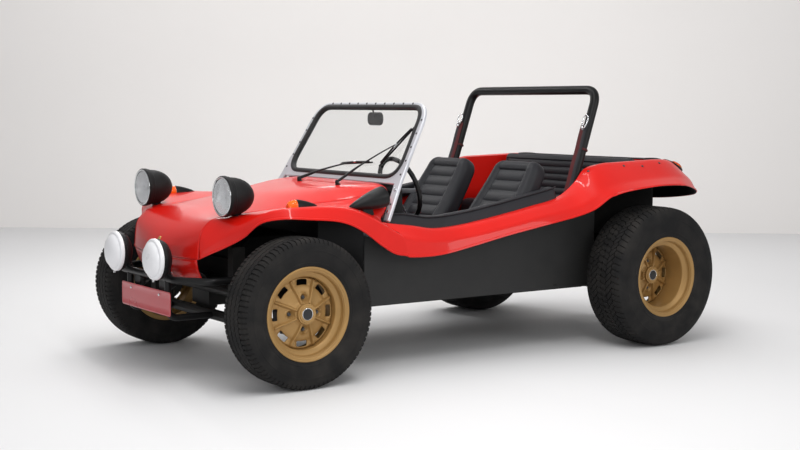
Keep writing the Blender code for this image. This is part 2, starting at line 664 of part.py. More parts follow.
def fender_rows():
    # The strip's cross-sections: a curve from seam over crown to ridge, then the lip.
    stations = np.array(FENDER_SHARES) * BODY_SIZE
    across = []
    for i, (seam, crown, ridge, lip) in enumerate(stations):
        top = smooth_rows((seam, crown, ridge), 2)
        ledge = seam_ledge(stations, i) if i < COCKPIT_FIRST else 0.0
        across.append(np.vstack((seam + ledge, top, lip)))
    return np.array(across)


def seam_ledge(stations, i):
    # From the seam inboard and in under the bonnet: the rebate its edge lies over.
    along = stations[min(i + 1, COCKPIT_FIRST - 1), 0] - stations[max(i - 1, 0), 0]
    inwards = np.array((0.0, along[2], -along[1])) / np.linalg.norm(along[1:])
    return inwards * LEDGE_DROP - (LEDGE_WIDTH, 0.0, 0.0)


def inner_rows():
    # From the cockpit's floor up its wall to the edge; behind, up the bulkhead to the deck.
    stations = np.array(FENDER_SHARES) * BODY_SIZE
    floor = PAN_BOTTOM + PAN_THICKNESS + GAP
    rows = []
    for i in range(COCKPIT_FIRST, len(stations)):
        edge = stations[i][0]
        behind = i >= TAIL_FIRST
        y = BULKHEAD_Y if behind else edge[1]
        z = edge[2] if not behind else stations[TAIL_FIRST][0][2]
        bottom = REAR_SHELF_Z + GAP if i >= SHELF_FIRST else floor
        top = (edge[0], y, z) if behind else (edge[0], y, z - PAD_RISE)
        rows.append(((edge[0], y, bottom), top, tuple(edge)))
    return np.array(rows)


def body_sheet(name, thickness, raised):
    # The moulded tub: fender strip and cockpit wall, left and right, met at the tail.
    strip = smooth_rows(fender_rows(), BODY_STEPS)
    inside = smooth_rows(inner_rows(), BODY_STEPS)
    strip[BODY_STEPS * COCKPIT_FIRST :, :2] = inside[:, -1:]
    flip = np.array((-1.0, 1.0, 1.0))
    grids = [strip, inside, (strip * flip)[:, ::-1], (inside * flip)[:, ::-1]]
    return thick_sheet(name, grids, thickness + raised, 2 * raised / (thickness + raised) - 1)


def make_body(red):
    return finish(body_sheet("body_tub", SHELL, 0.0), red)


def bonnet_sheet(name, thickness, raised):
    columns = np.linspace(-1.0, 1.0, BONNET_COLUMNS)
    stations = np.array(FENDER_SHARES) * BODY_SIZE
    nose_edge = np.array(NOSE_EDGE_SHARES) * BODY_SIZE
    edges = np.vstack((nose_edge, stations[:COCKPIT_FIRST, 0])) - (SEAM, 0.0, 0.0)
    rows = []
    for edge, (centre_y, centre_z) in zip(edges, BONNET_SHARES):
        centre = np.array((0.0, centre_y, centre_z)) * BODY_SIZE
        bow = np.abs(columns) ** BOW_POWER_SHARE
        rows.append([(edge[0] * c, *(centre + (edge - centre) * b)[1:]) for c, b in zip(columns, bow)])
    rows[-1] = [(x, screen_front(z), z) for x, _, z in rows[-1]]
    sheet = smooth_rows(rows, BODY_STEPS)
    return thick_sheet(name, [sheet], thickness + raised, 2 * raised / (thickness + raised) - 1)


def make_bonnet(red):
    return finish(bonnet_sheet("bonnet", SHELL, 0.0), red)


def make_valance(red):
    half = np.array(VALANCE_SHARES) * BODY_SIZE
    whole = np.concatenate((half[:0:-1] * (-1.0, 1.0, 1.0), half))
    return finish(thick_sheet("nose_valance", [whole[:, ::-1]], SHELL), red)


def lip_height(y):
    # Height of the fender's lip at a place along the car.
    stations = np.array(FENDER_SHARES) * BODY_SIZE
    lips = stations[COCKPIT_FIRST - 3 : TAIL_FIRST, 3]
    return float(np.interp(y, lips[:, 1], lips[:, 2]))


def make_side_panels(black):
    x = INNER_WALL_X + SHELL + GAP + SIDE_PANEL_THICKNESS / 2
    places = np.linspace(SIDE_PANEL_FRONT, SIDE_PANEL_REAR, 9)
    outline = [(y, lip_height(y) + SIDE_PANEL_TUCK) for y in places]
    outline += [(SIDE_PANEL_REAR, SIDE_PANEL_BOTTOM), (SIDE_PANEL_FRONT, SIDE_PANEL_BOTTOM)]
    for side, sign in SIDES:
        panel = prism("side_panel_" + side, outline, SIDE_PANEL_THICKNESS,
                      (sign * x, 0, 0), (0, 1, 0), (0, 0, 1))
        finish(panel, black)


def footwell_outline():
    # In plan, the front of the floor narrows to clear the steered tyres.
    rear = SIDE_PANEL_FRONT - GAP
    return [(-PAN_HALF_WIDTH, rear), (-FOOTWELL_FRONT_HALF_WIDTH, FOOTWELL_FRONT),
            (FOOTWELL_FRONT_HALF_WIDTH, FOOTWELL_FRONT), (PAN_HALF_WIDTH, rear)]


def make_footwell(black):
    # Toe board and cheeks, standing on the front of the floor.
    floor = PAN_BOTTOM + PAN_THICKNESS + GAP
    outer = footwell_outline()
    rear = outer[0][1]
    inner = [(x * (1 - TRIM_BOARD / abs(x)), y + (TRIM_BOARD if y < rear else OVERRUN)) for x, y in outer]
    height = FOOTWELL_TOP - floor
    middle = (0, 0, floor + height / 2)
    solid = prism("footwell", outer, height, middle, (1, 0, 0), (0, 1, 0))
    hollow = prism("cutter", inner, height + OVERRUN, middle, (1, 0, 0), (0, 1, 0))
    tunnel = box("tunnel", (2 * (TUNNEL_HALF_WIDTH + GAP), OVERRUN * 4, 2 * (TUNNEL_HEIGHT + GAP)),
                 (0, FOOTWELL_FRONT, floor))
    finish(cut(solid, [hollow, tunnel]), black)


def make_floor_pan(steel):
    # A flat plate on a central tunnel, whose neck reaches forward to the beam.
    top = PAN_BOTTOM + PAN_THICKNESS
    rear = TORSION_Y - TORSION_RADIUS - GAP
    shape = footwell_outline() + [(PAN_HALF_WIDTH, rear), (-PAN_HALF_WIDTH, rear)]
    middle = (0, 0, PAN_BOTTOM + PAN_THICKNESS / 2)
    plate = prism("floor_pan", shape, PAN_THICKNESS, middle, (1, 0, 0), (0, 1, 0))
    half, crest = TUNNEL_HALF_WIDTH, top + TUNNEL_HEIGHT
    low = PAN_BOTTOM - SHELL
    outline = rounded([(-half, low, 0), (-half, crest, 0), (half, crest, 0), (half, low, 0)], half)
    front = BEAM_Y + BEAM_RADIUS + GAP
    rear = REAR_SHELF_Y - GAP
    tunnel = prism("tunnel", outline, rear - front, (0, (rear + front) / 2, 0), (1, 0, 0), (0, 0, 1))
    return finish(fuse("floor_pan", [plate, tunnel]), steel)


def make_front_beam(steel):
    # Two tubes across the car, shock towers, and trailing arms back to the king-pin carriers.
    pieces = []
    tower_x = BEAM_HALF_LENGTH - TOWER_WIDTH / 2 - SHELL
    tower_bottom = FRONT_AXLE_Z - BEAM_HALF_SPACING - BEAM_RADIUS - SHELL
    for _, sign in SIDES:
        pieces.append(box("tower", (TOWER_WIDTH, TOWER_DEPTH, TOWER_TOP - tower_bottom),
                          (sign * tower_x, BEAM_Y, (TOWER_TOP + tower_bottom) / 2)))
        for level in (-1, 1):
            z = FRONT_AXLE_Z + level * BEAM_HALF_SPACING
            outer = (sign * (BEAM_HALF_LENGTH + ARM_HUB_LENGTH / 2), BEAM_Y, z)
            pieces.append(rod("hub", (sign * tower_x, BEAM_Y, z), outer, ARM_HUB_RADIUS, 14))
            start = Vector((sign * (BEAM_HALF_LENGTH + SHELL), BEAM_Y, z))
            end = Vector((sign * KINGPIN_X, FRONT_AXLE_Y, z))
            along = end - start
            turn = Matrix.Rotation(math.atan2(along.y, along.x), 3, "Z")
            pieces.append(box("arm", (along.length, ARM_WIDTH, ARM_HEIGHT), (start + end) / 2, turn))
        low, high = (FRONT_AXLE_Z + level * CARRIER_HALF_HEIGHT for level in (-1, 1))
        pieces.append(rod("carrier", (sign * KINGPIN_X, FRONT_AXLE_Y, low),
                          (sign * KINGPIN_X, FRONT_AXLE_Y, high), KINGPIN_RADIUS, 14))
    for level in (-BEAM_HALF_SPACING, BEAM_HALF_SPACING):
        ends = [(side * tower_x, BEAM_Y, FRONT_AXLE_Z + level) for side in (-1, 1)]
        pieces.append(rod("tube", *ends, BEAM_RADIUS, 12))
    return finish(fuse("front_beam", pieces), steel)


def hub_face_x(lip_x, dish):
    # Where the wheel's seat on its hub lies, from the car's centre.
    return lip_x - dish + HUB_SEAT_DEPTH


def drum_profile(face):
    # Along the axle from the drum's open side to the nose that the wheel sits on.
    nose = face - GAP
    front = nose - HUB_NOSE_LENGTH
    return [(front - DRUM_DEPTH, 0.0), (front - DRUM_DEPTH, DRUM_RADIUS), (front - BARREL_WALL, DRUM_RADIUS),
            (front, DRUM_RADIUS - BARREL_WALL), (front, HUB_NOSE_RADIUS), (nose, HUB_NOSE_RADIUS),
            (nose, 0.0)]


def make_knuckle(side, sign, steel):
    # Lugs above and below the carrier, the upright outboard of it, and the drum.
    face = hub_face_x(FRONT_LIP_X, FRONT_DISH)
    centre = (0, FRONT_AXLE_Y, FRONT_AXLE_Z)
    drum = turned("knuckle_" + side, drum_profile(face), DRUM_SEGMENTS, centre, (sign, 0, 0))
    lug_level = CARRIER_HALF_HEIGHT + PIN_CLEARANCE + LUG_HEIGHT / 2
    upright_x = KINGPIN_X + LUG_RADIUS + PIN_CLEARANCE
    upright_thickness = face - HUB_NOSE_LENGTH - DRUM_DEPTH - upright_x + SHELL
    reach = 2 * lug_level + LUG_HEIGHT
    pieces = [drum, box("upright", (upright_thickness, UPRIGHT_WIDTH, reach),
                        (sign * (upright_x + upright_thickness / 2), FRONT_AXLE_Y, FRONT_AXLE_Z))]
    for level in (-lug_level, lug_level):
        z = FRONT_AXLE_Z + level
        ends = [(sign * KINGPIN_X, FRONT_AXLE_Y, z + half) for half in (-LUG_HEIGHT / 2, LUG_HEIGHT / 2)]
        pieces.append(rod("lug", *ends, LUG_RADIUS, 14))
        pieces.append(box("web", (LUG_RADIUS + SHELL, UPRIGHT_WIDTH, LUG_HEIGHT),
                          (sign * (upright_x - LUG_RADIUS / 2 + SHELL / 2), FRONT_AXLE_Y, z)))
    return finish(fuse("knuckle_" + side, pieces), steel)


def rim_profile(width, dish):
    # From the disc's centre out to the lip, back over the barrel and in behind the disc.
    inner_well = WELL_RADIUS - BARREL_WALL
    inner_bead = BEAD_RADIUS - BARREL_WALL
    cap = dish - BOSS_RISE
    ramp = BEAD_LENGTH + (BEAD_RADIUS - WELL_RADIUS) / 2
    edge = FLANGE_THICKNESS
    face = dish - HUB_SEAT_DEPTH
    shoulder = (cap + BOSS_RISE * SHOULDER_SHARES[0], BOSS_RADIUS * SHOULDER_SHARES[1])
    return [
        (cap, 0.0), (cap, BOSS_RADIUS * BOSS_EDGE_SHARE), shoulder, (dish, inner_well), (ramp, inner_well),
        (BEAD_LENGTH, inner_bead), (edge, inner_bead), (0.0, BEAD_RADIUS), (0.0, FLANGE_RADIUS - edge / 2),
        (edge / 2, FLANGE_RADIUS), (edge, FLANGE_RADIUS), (edge, BEAD_RADIUS), (BEAD_LENGTH, BEAD_RADIUS),
        (ramp, WELL_RADIUS), (width - ramp, WELL_RADIUS), (width - BEAD_LENGTH, BEAD_RADIUS),
        (width - edge, BEAD_RADIUS), (width - edge, FLANGE_RADIUS), (width, FLANGE_RADIUS),
        (width, inner_bead), (width - BEAD_LENGTH, inner_bead), (width - ramp, inner_well),
        (dish + DISC_THICKNESS, inner_well), (face, HUB_SEAT_RADIUS), (face, 0.0),
    ]


def wheel_sizes(end):
    # Lip x, axle y and z, rim width, dish, tyre width and tyre radius of a front or rear wheel.
    if end == "front":
        return (FRONT_LIP_X, FRONT_AXLE_Y, FRONT_AXLE_Z, FRONT_RIM_WIDTH, FRONT_DISH, FRONT_TYRE_WIDTH,
                FRONT_TYRE_RADIUS)
    return REAR_LIP_X, REAR_AXLE_Y, REAR_AXLE_Z, REAR_RIM_WIDTH, REAR_DISH, REAR_TYRE_WIDTH, REAR_TYRE_RADIUS


def make_rib(centre, sign, dish, turn):
    # A raised bar from the boss out to the barrel, narrower along its crest.
    reach = WELL_RADIUS - BARREL_WALL / 2
    low = Vector((-sign * (dish - BOSS_RISE * RIB_START_SHARE), 0, BOSS_RADIUS))
    high = Vector((-sign * (dish + RIB_HEIGHT - DISC_THICKNESS * DISC_LAP_SHARE), 0, reach))
    rise = Vector((sign * RIB_HEIGHT, 0, 0))
    across = Vector((0, RIB_WIDTH / 2, 0))
    base = across * RIB_FOOT_SHARE
    sunk = Vector((-sign * DISC_THICKNESS * DISC_LAP_SHARE, 0, 0))
    rings = []
    for place, crest in ((low, rise), (high, rise * RIB_END_SHARE)):
        ring = [place + sunk - base, place + sunk + base, place + crest + across, place + crest - across]
        rings.append([centre + turn @ p for p in ring])
    return join_rings("rib", rings)


def make_rim(end, side, sign, gold):
    # A dished steel wheel: eight windows near the disc's edge with a rib between each pair.
    lip, y, z, width, dish, _, _ = wheel_sizes(end)
    centre = Vector((sign * lip, y, z))
    rim = turned("rim", rim_profile(width, dish), RIM_SEGMENTS, centre, (-sign, 0, 0))
    window_radius = WELL_RADIUS - BARREL_WALL - WINDOW_HEIGHT
    window_size = (DISC_THICKNESS * WINDOW_DEPTH_SHARE, WINDOW_LENGTH, WINDOW_HEIGHT)
    cutters, ribs = [], []
    for k in range(SPOKES):
        angle = 2 * math.pi * k / SPOKES
        turn = Matrix.Rotation(angle, 3, "X")
        place = centre + Vector((-sign * dish, 0, 0)) + turn @ Vector((0, 0, window_radius))
        cutters.append(box("window", window_size, place, turn))
        ribs.append(make_rib(centre, sign, dish, Matrix.Rotation(angle + math.pi / SPOKES, 3, "X")))
    cut(rim, cutters)
    return finish(fuse("rim_%s_%s" % (end, side), [rim] + ribs), gold)


def make_tyre(end, side, sign, rubber):
    # Its flats clear the rim, whose outline has fewer sides.
    lip, y, z, rim_width, _, width, radius = wheel_sizes(end)
    bead = rim_width / 2 - FLANGE_THICKNESS - GAP
    seat = (BEAD_RADIUS + GAP) / math.cos(math.pi / TYRE_SEGMENTS)
    base = FLANGE_RADIUS + FLANGE_THICKNESS
    outer = [(x * width / 2, base + (radius - base) * share) for x, share in TYRE_SHARES]
    profile = [(bead, seat), (bead, base)] + outer + [(-bead, base), (-bead, seat)]
    centre = (sign * (lip - rim_width / 2), y, z)
    tyre = turned("tyre_%s_%s" % (end, side), profile, TYRE_SEGMENTS, centre, (sign, 0, 0), closed=True)
    return finish(tyre, rubber)


def make_rear_axle(steel):
    # Torsion housing, spring plates, gearbox, axle tubes and drums.
    z = REAR_AXLE_Z
    ends = [(side * TORSION_HALF_LENGTH, TORSION_Y, z) for side in (-1, 1)]
    pieces = [rod("housing", *ends, TORSION_RADIUS, HOUSING_SEGMENTS)]
    pieces.append(box("flange", (TORSION_HALF_LENGTH, TORSION_RADIUS, PAN_THICKNESS),
                      (0, TORSION_Y - TORSION_RADIUS / 2, PAN_BOTTOM + PAN_THICKNESS / 2)))
    pieces.append(rod("gearbox", (0, TORSION_Y + GEARBOX_STAND_OFF, z), (0, ENGINE_FRONT - GAP, z),
                      GEARBOX_RADIUS, HOUSING_SEGMENTS))
    face = hub_face_x(REAR_LIP_X, REAR_DISH)
    tube_end = face - HUB_NOSE_LENGTH - DRUM_DEPTH / 2
    ends = [(side * tube_end, REAR_AXLE_Y, z) for side in (-1, 1)]
    pieces.append(rod("axle", *ends, AXLE_TUBE_RADIUS, 14))
    front, rear = TORSION_Y - TORSION_RADIUS / 2, REAR_AXLE_Y + AXLE_TUBE_RADIUS
    for _, sign in SIDES:
        pieces.append(box("plate", (SPRING_PLATE_THICKNESS, rear - front, SPRING_PLATE_HEIGHT),
                          (sign * (TORSION_HALF_LENGTH - SPRING_PLATE_THICKNESS), (front + rear) / 2, z)))
        pieces.append(turned("drum", drum_profile(face), DRUM_SEGMENTS, (0, REAR_AXLE_Y, z), (sign, 0, 0)))
    return finish(fuse("rear_axle", pieces), steel)


def finned_barrel(start, end, y):
    # A square-finned cylinder lying across the car, its ends let into case and head.
    rings = []
    pitch = (end - start) / FINS
    for k in range(FINS):
        for share, size_share in FIN_SHARES:
            x, half = start + pitch * (k + share), CYLINDER_RADIUS * size_share
            rings.append([Vector((x, y + a * half, CRANK_HEIGHT + b * half)) for a, b in SQUARE])
    return join_rings("barrel", rings)


def shroud_outline():
    # Half of the fan shroud's outline rises from its foot to a narrower top; the rest mirrors it.
    half, top = SHROUD_HALF_WIDTH, SHROUD_BOTTOM + SHROUD_HEIGHT
    foot, shoulder = SHROUD_BOTTOM - OVERRUN, SHROUD_BOTTOM + SHROUD_HEIGHT * SHROUD_SHOULDER_SHARE
    left = [(-half, foot, 0), (-half, shoulder, 0), (-half / 3, top, 0)]
    return rounded(left + [(-x, z, 0) for x, z, _ in left[::-1]], SHROUD_HEIGHT / 3)


def make_engine(alloy):
    # Crankcase with two finned cylinders a side, fan shroud, generator on its pedestal, and pulley.
    middle = ENGINE_FRONT + ENGINE_LENGTH / 2
    rear = ENGINE_FRONT + ENGINE_LENGTH
    case_size = (2 * CRANKCASE_HALF_WIDTH, ENGINE_LENGTH, CRANKCASE_HEIGHT)
    pieces = [box("engine", case_size, (0, middle, CRANK_HEIGHT))]
    head_size = (HEAD_LENGTH, ENGINE_LENGTH * HEAD_DEPTH_SHARE, CYLINDER_RADIUS * HEAD_HEIGHT_SHARE)
    for _, sign in SIDES:
        start = sign * (CRANKCASE_HALF_WIDTH - SHELL)
        end = sign * (CRANKCASE_HALF_WIDTH + CYLINDER_LENGTH)
        for row in (-ENGINE_LENGTH / 4, ENGINE_LENGTH / 4):
            pieces.append(finned_barrel(start, end, middle + row))
        head_x = end + sign * HEAD_LENGTH * (1 / 2 - HEAD_LAP_SHARE)
        pieces.append(box("head", head_size, (head_x, middle, CRANK_HEIGHT)))
    shroud_y = ENGINE_FRONT + SHROUD_DEPTH / 2 + OVERRUN
    pieces.append(prism("shroud", shroud_outline(), SHROUD_DEPTH, (0, shroud_y, 0), (1, 0, 0), (0, 0, 1)))
    fan_z = SHROUD_BOTTOM + SHROUD_HEIGHT * FAN_RISE_SHARE
    fan_end = shroud_y + SHROUD_DEPTH + SHROUD_DEPTH / 4
    pieces.append(rod("generator", (0, shroud_y, fan_z), (0, fan_end, fan_z), GENERATOR_RADIUS, 16))
    stand_y = shroud_y + SHROUD_DEPTH * PEDESTAL_SHARE
    pieces.append(rod("pedestal", (0, stand_y, CRANK_HEIGHT), (0, stand_y, fan_z), PEDESTAL_RADIUS, 12))
    pieces.append(rod("pulley", (0, rear - SHELL, CRANK_HEIGHT), (0, rear + PULLEY_WIDTH, CRANK_HEIGHT),
                      PULLEY_RADIUS, 20))
    return finish(fuse("engine", pieces), alloy)


def make_exhaust(steel):
    # Headers down from the heads to a cross muffler with two short tailpipes.
    head_x = CRANKCASE_HALF_WIDTH + CYLINDER_LENGTH + HEAD_LENGTH / 2
    head_bottom = CRANK_HEIGHT - CYLINDER_RADIUS * HEAD_HEIGHT_SHARE / 2 - GAP
    port_y = ENGINE_FRONT + ENGINE_LENGTH / 4
    y, z = ENGINE_FRONT + ENGINE_LENGTH + PULLEY_WIDTH - MUFFLER_RADIUS, MUFFLER_Z
    ends = [(side * MUFFLER_HALF_LENGTH, y, z) for side in (-1, 1)]
    pieces = [rod("exhaust", *ends, MUFFLER_RADIUS, 14)]
    tip_z = z - MUFFLER_RADIUS / 3
    for _, sign in SIDES:
        x, tip_x = sign * head_x, sign * TAILPIPE_X
        bend = [(x, port_y, head_bottom), (x, port_y, z), (x, y, z)]
        pieces.append(tube("header", bend, HEADER_RADIUS, 10, HEADER_RADIUS * 2))
        pieces.append(rod("link", (x, y, z), (sign * (MUFFLER_HALF_LENGTH - OVERRUN), y, z), LINK_RADIUS))
        pieces.append(rod("tip", (tip_x, y, tip_z), (tip_x, y + TAILPIPE_REACH, tip_z), TAILPIPE_RADIUS))
    return finish(fuse("exhaust", pieces), steel)


def make_dashboard(black):
    # A padded panel under the scuttle, with a rolled lower edge.
    half = DASH_DEPTH / 2
    roll = half * DASH_ROLL_SHARE
    corners = [(-half, DASH_BOTTOM, 0), (half, DASH_BOTTOM, 0), (roll, DASH_TOP, 0), (-half, DASH_TOP, 0)]
    outline = rounded(corners, roll, closed=True)
    panel = prism("dashboard", outline, 2 * DASH_HALF_WIDTH, (0, DASH_Y, 0), (0, 1, 0), (0, 0, 1))
    reach = 2 * DASH_HALF_WIDTH
    square = [(-reach, -reach), (reach, -reach), (reach, reach), (-reach, reach)]
    ahead = screen_prism("ahead", square, DASH_DEPTH * 2, DASH_DEPTH - SCREEN_THICKNESS / 2 - GAP)
    return finish(cut(panel, [ahead]), black)


def screen_outline(inset, foot):
    # Half-width and height along the slope of the frame's edge, drawn in by inset.
    top = SCREEN_HEIGHT - inset
    lean = (SCREEN_FOOT_HALF_WIDTH - SCREEN_TOP_HALF_WIDTH) / SCREEN_HEIGHT
    low, high = SCREEN_FOOT_HALF_WIDTH - inset - lean * foot, SCREEN_TOP_HALF_WIDTH - inset + lean * inset
    return [(low, foot), (high, top)]


def glass_outline(inset):
    low, high = screen_outline(POST_WIDTH + inset, inset)
    top = SCREEN_HEIGHT - RAIL_WIDTH - inset
    slope = (low[0] - high[0]) / (high[1] - low[1])
    high = (low[0] - slope * (top - low[1]), top)
    corners = [(-low[0], low[1], 0), (low[0], low[1], 0), (high[0], high[1], 0), (-high[0], high[1], 0)]
    return rounded(corners, GLASS_CORNER, closed=True)


def screen_prism(name, outline, thickness, out=0.0):
    up = screen_point(0, 1) - screen_point(0, 0)
    return prism(name, outline, thickness, screen_point(0, 0, out), (1, 0, 0), up)


def make_screen(silver, glass_material):
    # A flat frame whose posts run down to the sills, and its pane.
    (foot_x, foot_v), (top_x, top_v) = screen_outline(0.0, 0.0)
    post, drop = POST_FOOT_HALF_WIDTH, -POST_DROP
    corners = [(foot_x, foot_v, 0), (top_x, top_v, 0), (-top_x, top_v, 0), (-foot_x, foot_v, 0)]
    edge = rounded(corners, SCREEN_CORNER, 4)
    outline = [(post, drop)] + [tuple(p[:2]) for p in edge] + [(-post, drop)]
    inner_post = post - POST_WIDTH
    shoulder = foot_x - POST_WIDTH + (inner_post - foot_x + POST_WIDTH) * SILL_RAIL_WIDTH / POST_DROP
    outline += [(-inner_post, drop), (-shoulder, -SILL_RAIL_WIDTH)]
    outline += [(shoulder, -SILL_RAIL_WIDTH), (inner_post, drop)]
    frame = screen_prism("windscreen_frame", outline, SCREEN_THICKNESS)
    cut(frame, [screen_prism("opening", glass_outline(0.0), SCREEN_THICKNESS + OVERRUN)])
    finish(frame, silver)
    finish(screen_prism("windscreen_glass", glass_outline(GAP), GLASS_THICKNESS), glass_material)


def make_mirror(black):
    # A small glass on a stem from the frame's top rail.
    half_w, half_h = MIRROR_WIDTH / 2, MIRROR_HEIGHT / 2
    corners = [(-half_w, -half_h, 0), (half_w, -half_h, 0), (half_w, half_h, 0), (-half_w, half_h, 0)]
    outline = rounded(corners, half_h * MIRROR_ROUND_SHARE, closed=True)
    rail = screen_point(0, SCREEN_HEIGHT - RAIL_WIDTH / 2)
    root = screen_point(0, SCREEN_HEIGHT - RAIL_WIDTH / 2, -SCREEN_THICKNESS / 2 - GAP)
    centre = root + Vector((0, MIRROR_STAND_OFF, -MIRROR_HEIGHT))
    pane = prism("interior_mirror", outline, MIRROR_THICKNESS, centre)
    knee = root + (root - rail).normalized() * MIRROR_STEM
    stem = tube("stem", [root, knee, centre], MIRROR_STEM / 2, 8)
    return finish(fuse("interior_mirror", [pane, stem]), black)


def make_wipers(black):
    # Each arm runs from a pivot on the bonnet to the middle of a blade on the glass.
    clear = GLASS_THICKNESS / 2 + GAP + WIPER_WIDTH / 2
    for side, pivot_share, tip_share, rise_share, blade_tilt in WIPER_SHARES:
        pivot_x, tip_x = pivot_share * BODY_HALF_WIDTH, tip_share * BODY_HALF_WIDTH
        tip_v = rise_share * SCREEN_HEIGHT
        tip = screen_point(tip_x, tip_v, clear + SCREEN_THICKNESS)
        foot, normal = surface_point("bonnet", pivot_x, WIPER_PIVOT_Y)
        post_top = foot + Vector((0, 0, WIPER_PIVOT_HEIGHT))
        arm = tube("wiper_" + side, [post_top, tip], WIPER_WIDTH / 2, 8)
        cap = post_top + Vector((0, 0, WIPER_WIDTH))
        post = rod("post", foot - normal * SHELL / 2, cap, WIPER_PIVOT_RADIUS, 12)
        tilt = screen_point(math.cos(blade_tilt), math.sin(blade_tilt)) - screen_point(0, 0)
        along = tilt * (WIPER_BLADE / 2)
        middle = screen_point(tip_x, tip_v, clear)
        blade = tube("blade", [middle - along, middle + along], WIPER_WIDTH / 2, 8)
        link = rod("link", tip, middle, WIPER_WIDTH / 2, 8)
        finish(rest_on(fuse("wiper_" + side, [arm, post, blade, link]), bonnet_sheet), black)


def surface_point(name, x, y):
    # The top of a named solid above a place in plan, and which way it faces there.
    tree = BVHTree.FromObject(bpy.data.objects[name], bpy.context.evaluated_depsgraph_get())
    place, normal, _, _ = tree.ray_cast(Vector((x, y, 2 * ROLL_TOP_Z)), Vector((0, 0, -1)))
    return place, normal


def drop_offcuts(item):
    # Keeps the highest of an object's separate bodies: the others fell inside the shell.
    solid = bmesh.new()
    solid.from_mesh(item.data)
    left = set(solid.verts)
    bodies = []
    while left:
        reached = [left.pop()]
        for vertex in reached:
            for edge in vertex.link_edges:
                other = edge.other_vert(vertex)
                if other in left:
                    left.remove(other)
                    reached.append(other)
        bodies.append(reached)
    bodies.sort(key=lambda body: max(v.co.z for v in body))
    bmesh.ops.delete(solid, geom=[v for body in bodies[:-1] for v in body], context="VERTS")
    solid.to_mesh(item.data)
    solid.free()
    return item


def rest_on(item, sheet):
    # Cuts the foot of a piece to the outside of a body sheet, with the fitting gap.
    return drop_offcuts(cut(item, [sheet("cutter", SHELL + BODY_TRIM, 2 * GAP)]))


def make_headlight(side, sign, black):
    centre = Vector((sign * HEADLIGHT_X, HEADLIGHT_Y, HEADLIGHT_Z))
    profile = [(a * HEADLIGHT_LENGTH, r * HEADLIGHT_RADIUS) for a, r in HEADLIGHT_PROFILE_SHARES]
    bucket = turned("headlight_" + side, profile, 20, centre, (0, 1, 0))
    root = centre + Vector((0, HEADLIGHT_LENGTH / 2, 0))
    foot, normal = surface_point("body_tub", root.x, root.y)
    flange = rod("flange", foot - normal * SHELL, foot + normal * SHELL, FLANGE_FOOT_RADIUS, 14)
    stalk = rod("stalk", root, foot + normal * SHELL / 2, STALK_RADIUS, 12)
    lamp = fuse("headlight_" + side, [bucket, stalk, flange])
    return finish(rest_on(lamp, body_sheet), black)


def make_spot_lamp(side, sign, white):
    front = Vector((sign * SPOT_X, SPOT_FRONT, SPOT_Z))
    profile = [(a * SPOT_LENGTH, r * SPOT_RADIUS) for a, r in SPOT_PROFILE_SHARES]
    lamp = turned("spot_lamp_" + side, profile, 20, front, (0, 1, 0))
    root = front + Vector((0, SPOT_LENGTH * SPOT_POST_SHARE, 0))
    base = Vector((sign * SPOT_X, BUMPER_Y, BUMPER_Z + BUMPER_RADIUS + GAP))
    bend = base + Vector((0, 0, SPOT_RADIUS / 2))
    post = rod("post", root, bend, SPOT_POST_RADIUS)
    foot = rod("foot", base, bend + Vector((0, 0, SPOT_POST_RADIUS / 2)), SPOT_POST_RADIUS)
    return finish(fuse("spot_lamp_" + side, [lamp, post, foot]), white)


def make_bumper(black):
    # A bent top tube with two hoops below it, back to the beam.
    z, y = BUMPER_Z, BUMPER_Y
    side_x = BEAM_HALF_LENGTH - TOWER_WIDTH / 2
    knee_x = side_x * BUMPER_KNEE_SHARE
    rest = BEAM_Y - TOWER_DEPTH / 2 - GAP
    knee = (y + rest) / 2
    left = [(-side_x, rest, z), (-side_x, knee, z), (-knee_x, y, z)]
    top = left + [(-x, *place) for x, *place in left[::-1]]
    pieces = [tube("front_bumper", top, BUMPER_RADIUS, 10, BUMPER_BEND)]
    for _, sign in SIDES:
        x = sign * HOOP_X
        hoop = [(x, y, z), (x, y, HOOP_BOTTOM), (x, BEAM_Y - BEAM_RADIUS - GAP, HOOP_BOTTOM)]
        pieces.append(tube("hoop", hoop, HOOP_RADIUS, 8, BUMPER_BEND))
    return finish(fuse("front_bumper", pieces), black)


def make_plate(red):
    y = BUMPER_Y - HOOP_RADIUS - GAP - PLATE_THICKNESS / 2
    return finish(box("number_plate", (PLATE_WIDTH, PLATE_THICKNESS, PLATE_HEIGHT), (0, y, PLATE_Z)), red)


def make_teardrop(name, place, length, radius):
    # A half-round lamp housing lying on the body, blunt end first.
    profile = [(a * length, r * radius) for a, r in TEARDROP_PROFILE_SHARES]
    shape = turned(name, profile, 16, (0, 0, 0), (0, 1, 0))
    shape.data.transform(Matrix.Diagonal((TEARDROP_FLAT_SHARE, 1.0, 1.0, 1.0)))
    shape.data.transform(Matrix.Translation(place))
    return shape


def make_indicators(black):
    for side, sign in SIDES:
        x, y = sign * INDICATOR_X, INDICATOR_Y - INDICATOR_LENGTH / 2
        foot, _ = surface_point("body_tub", x, INDICATOR_Y)
        item = make_teardrop("indicator_" + side, Vector((x, y, foot.z)), INDICATOR_LENGTH, INDICATOR_RADIUS)
        rest_on(item, body_sheet)
        finish(item, black)


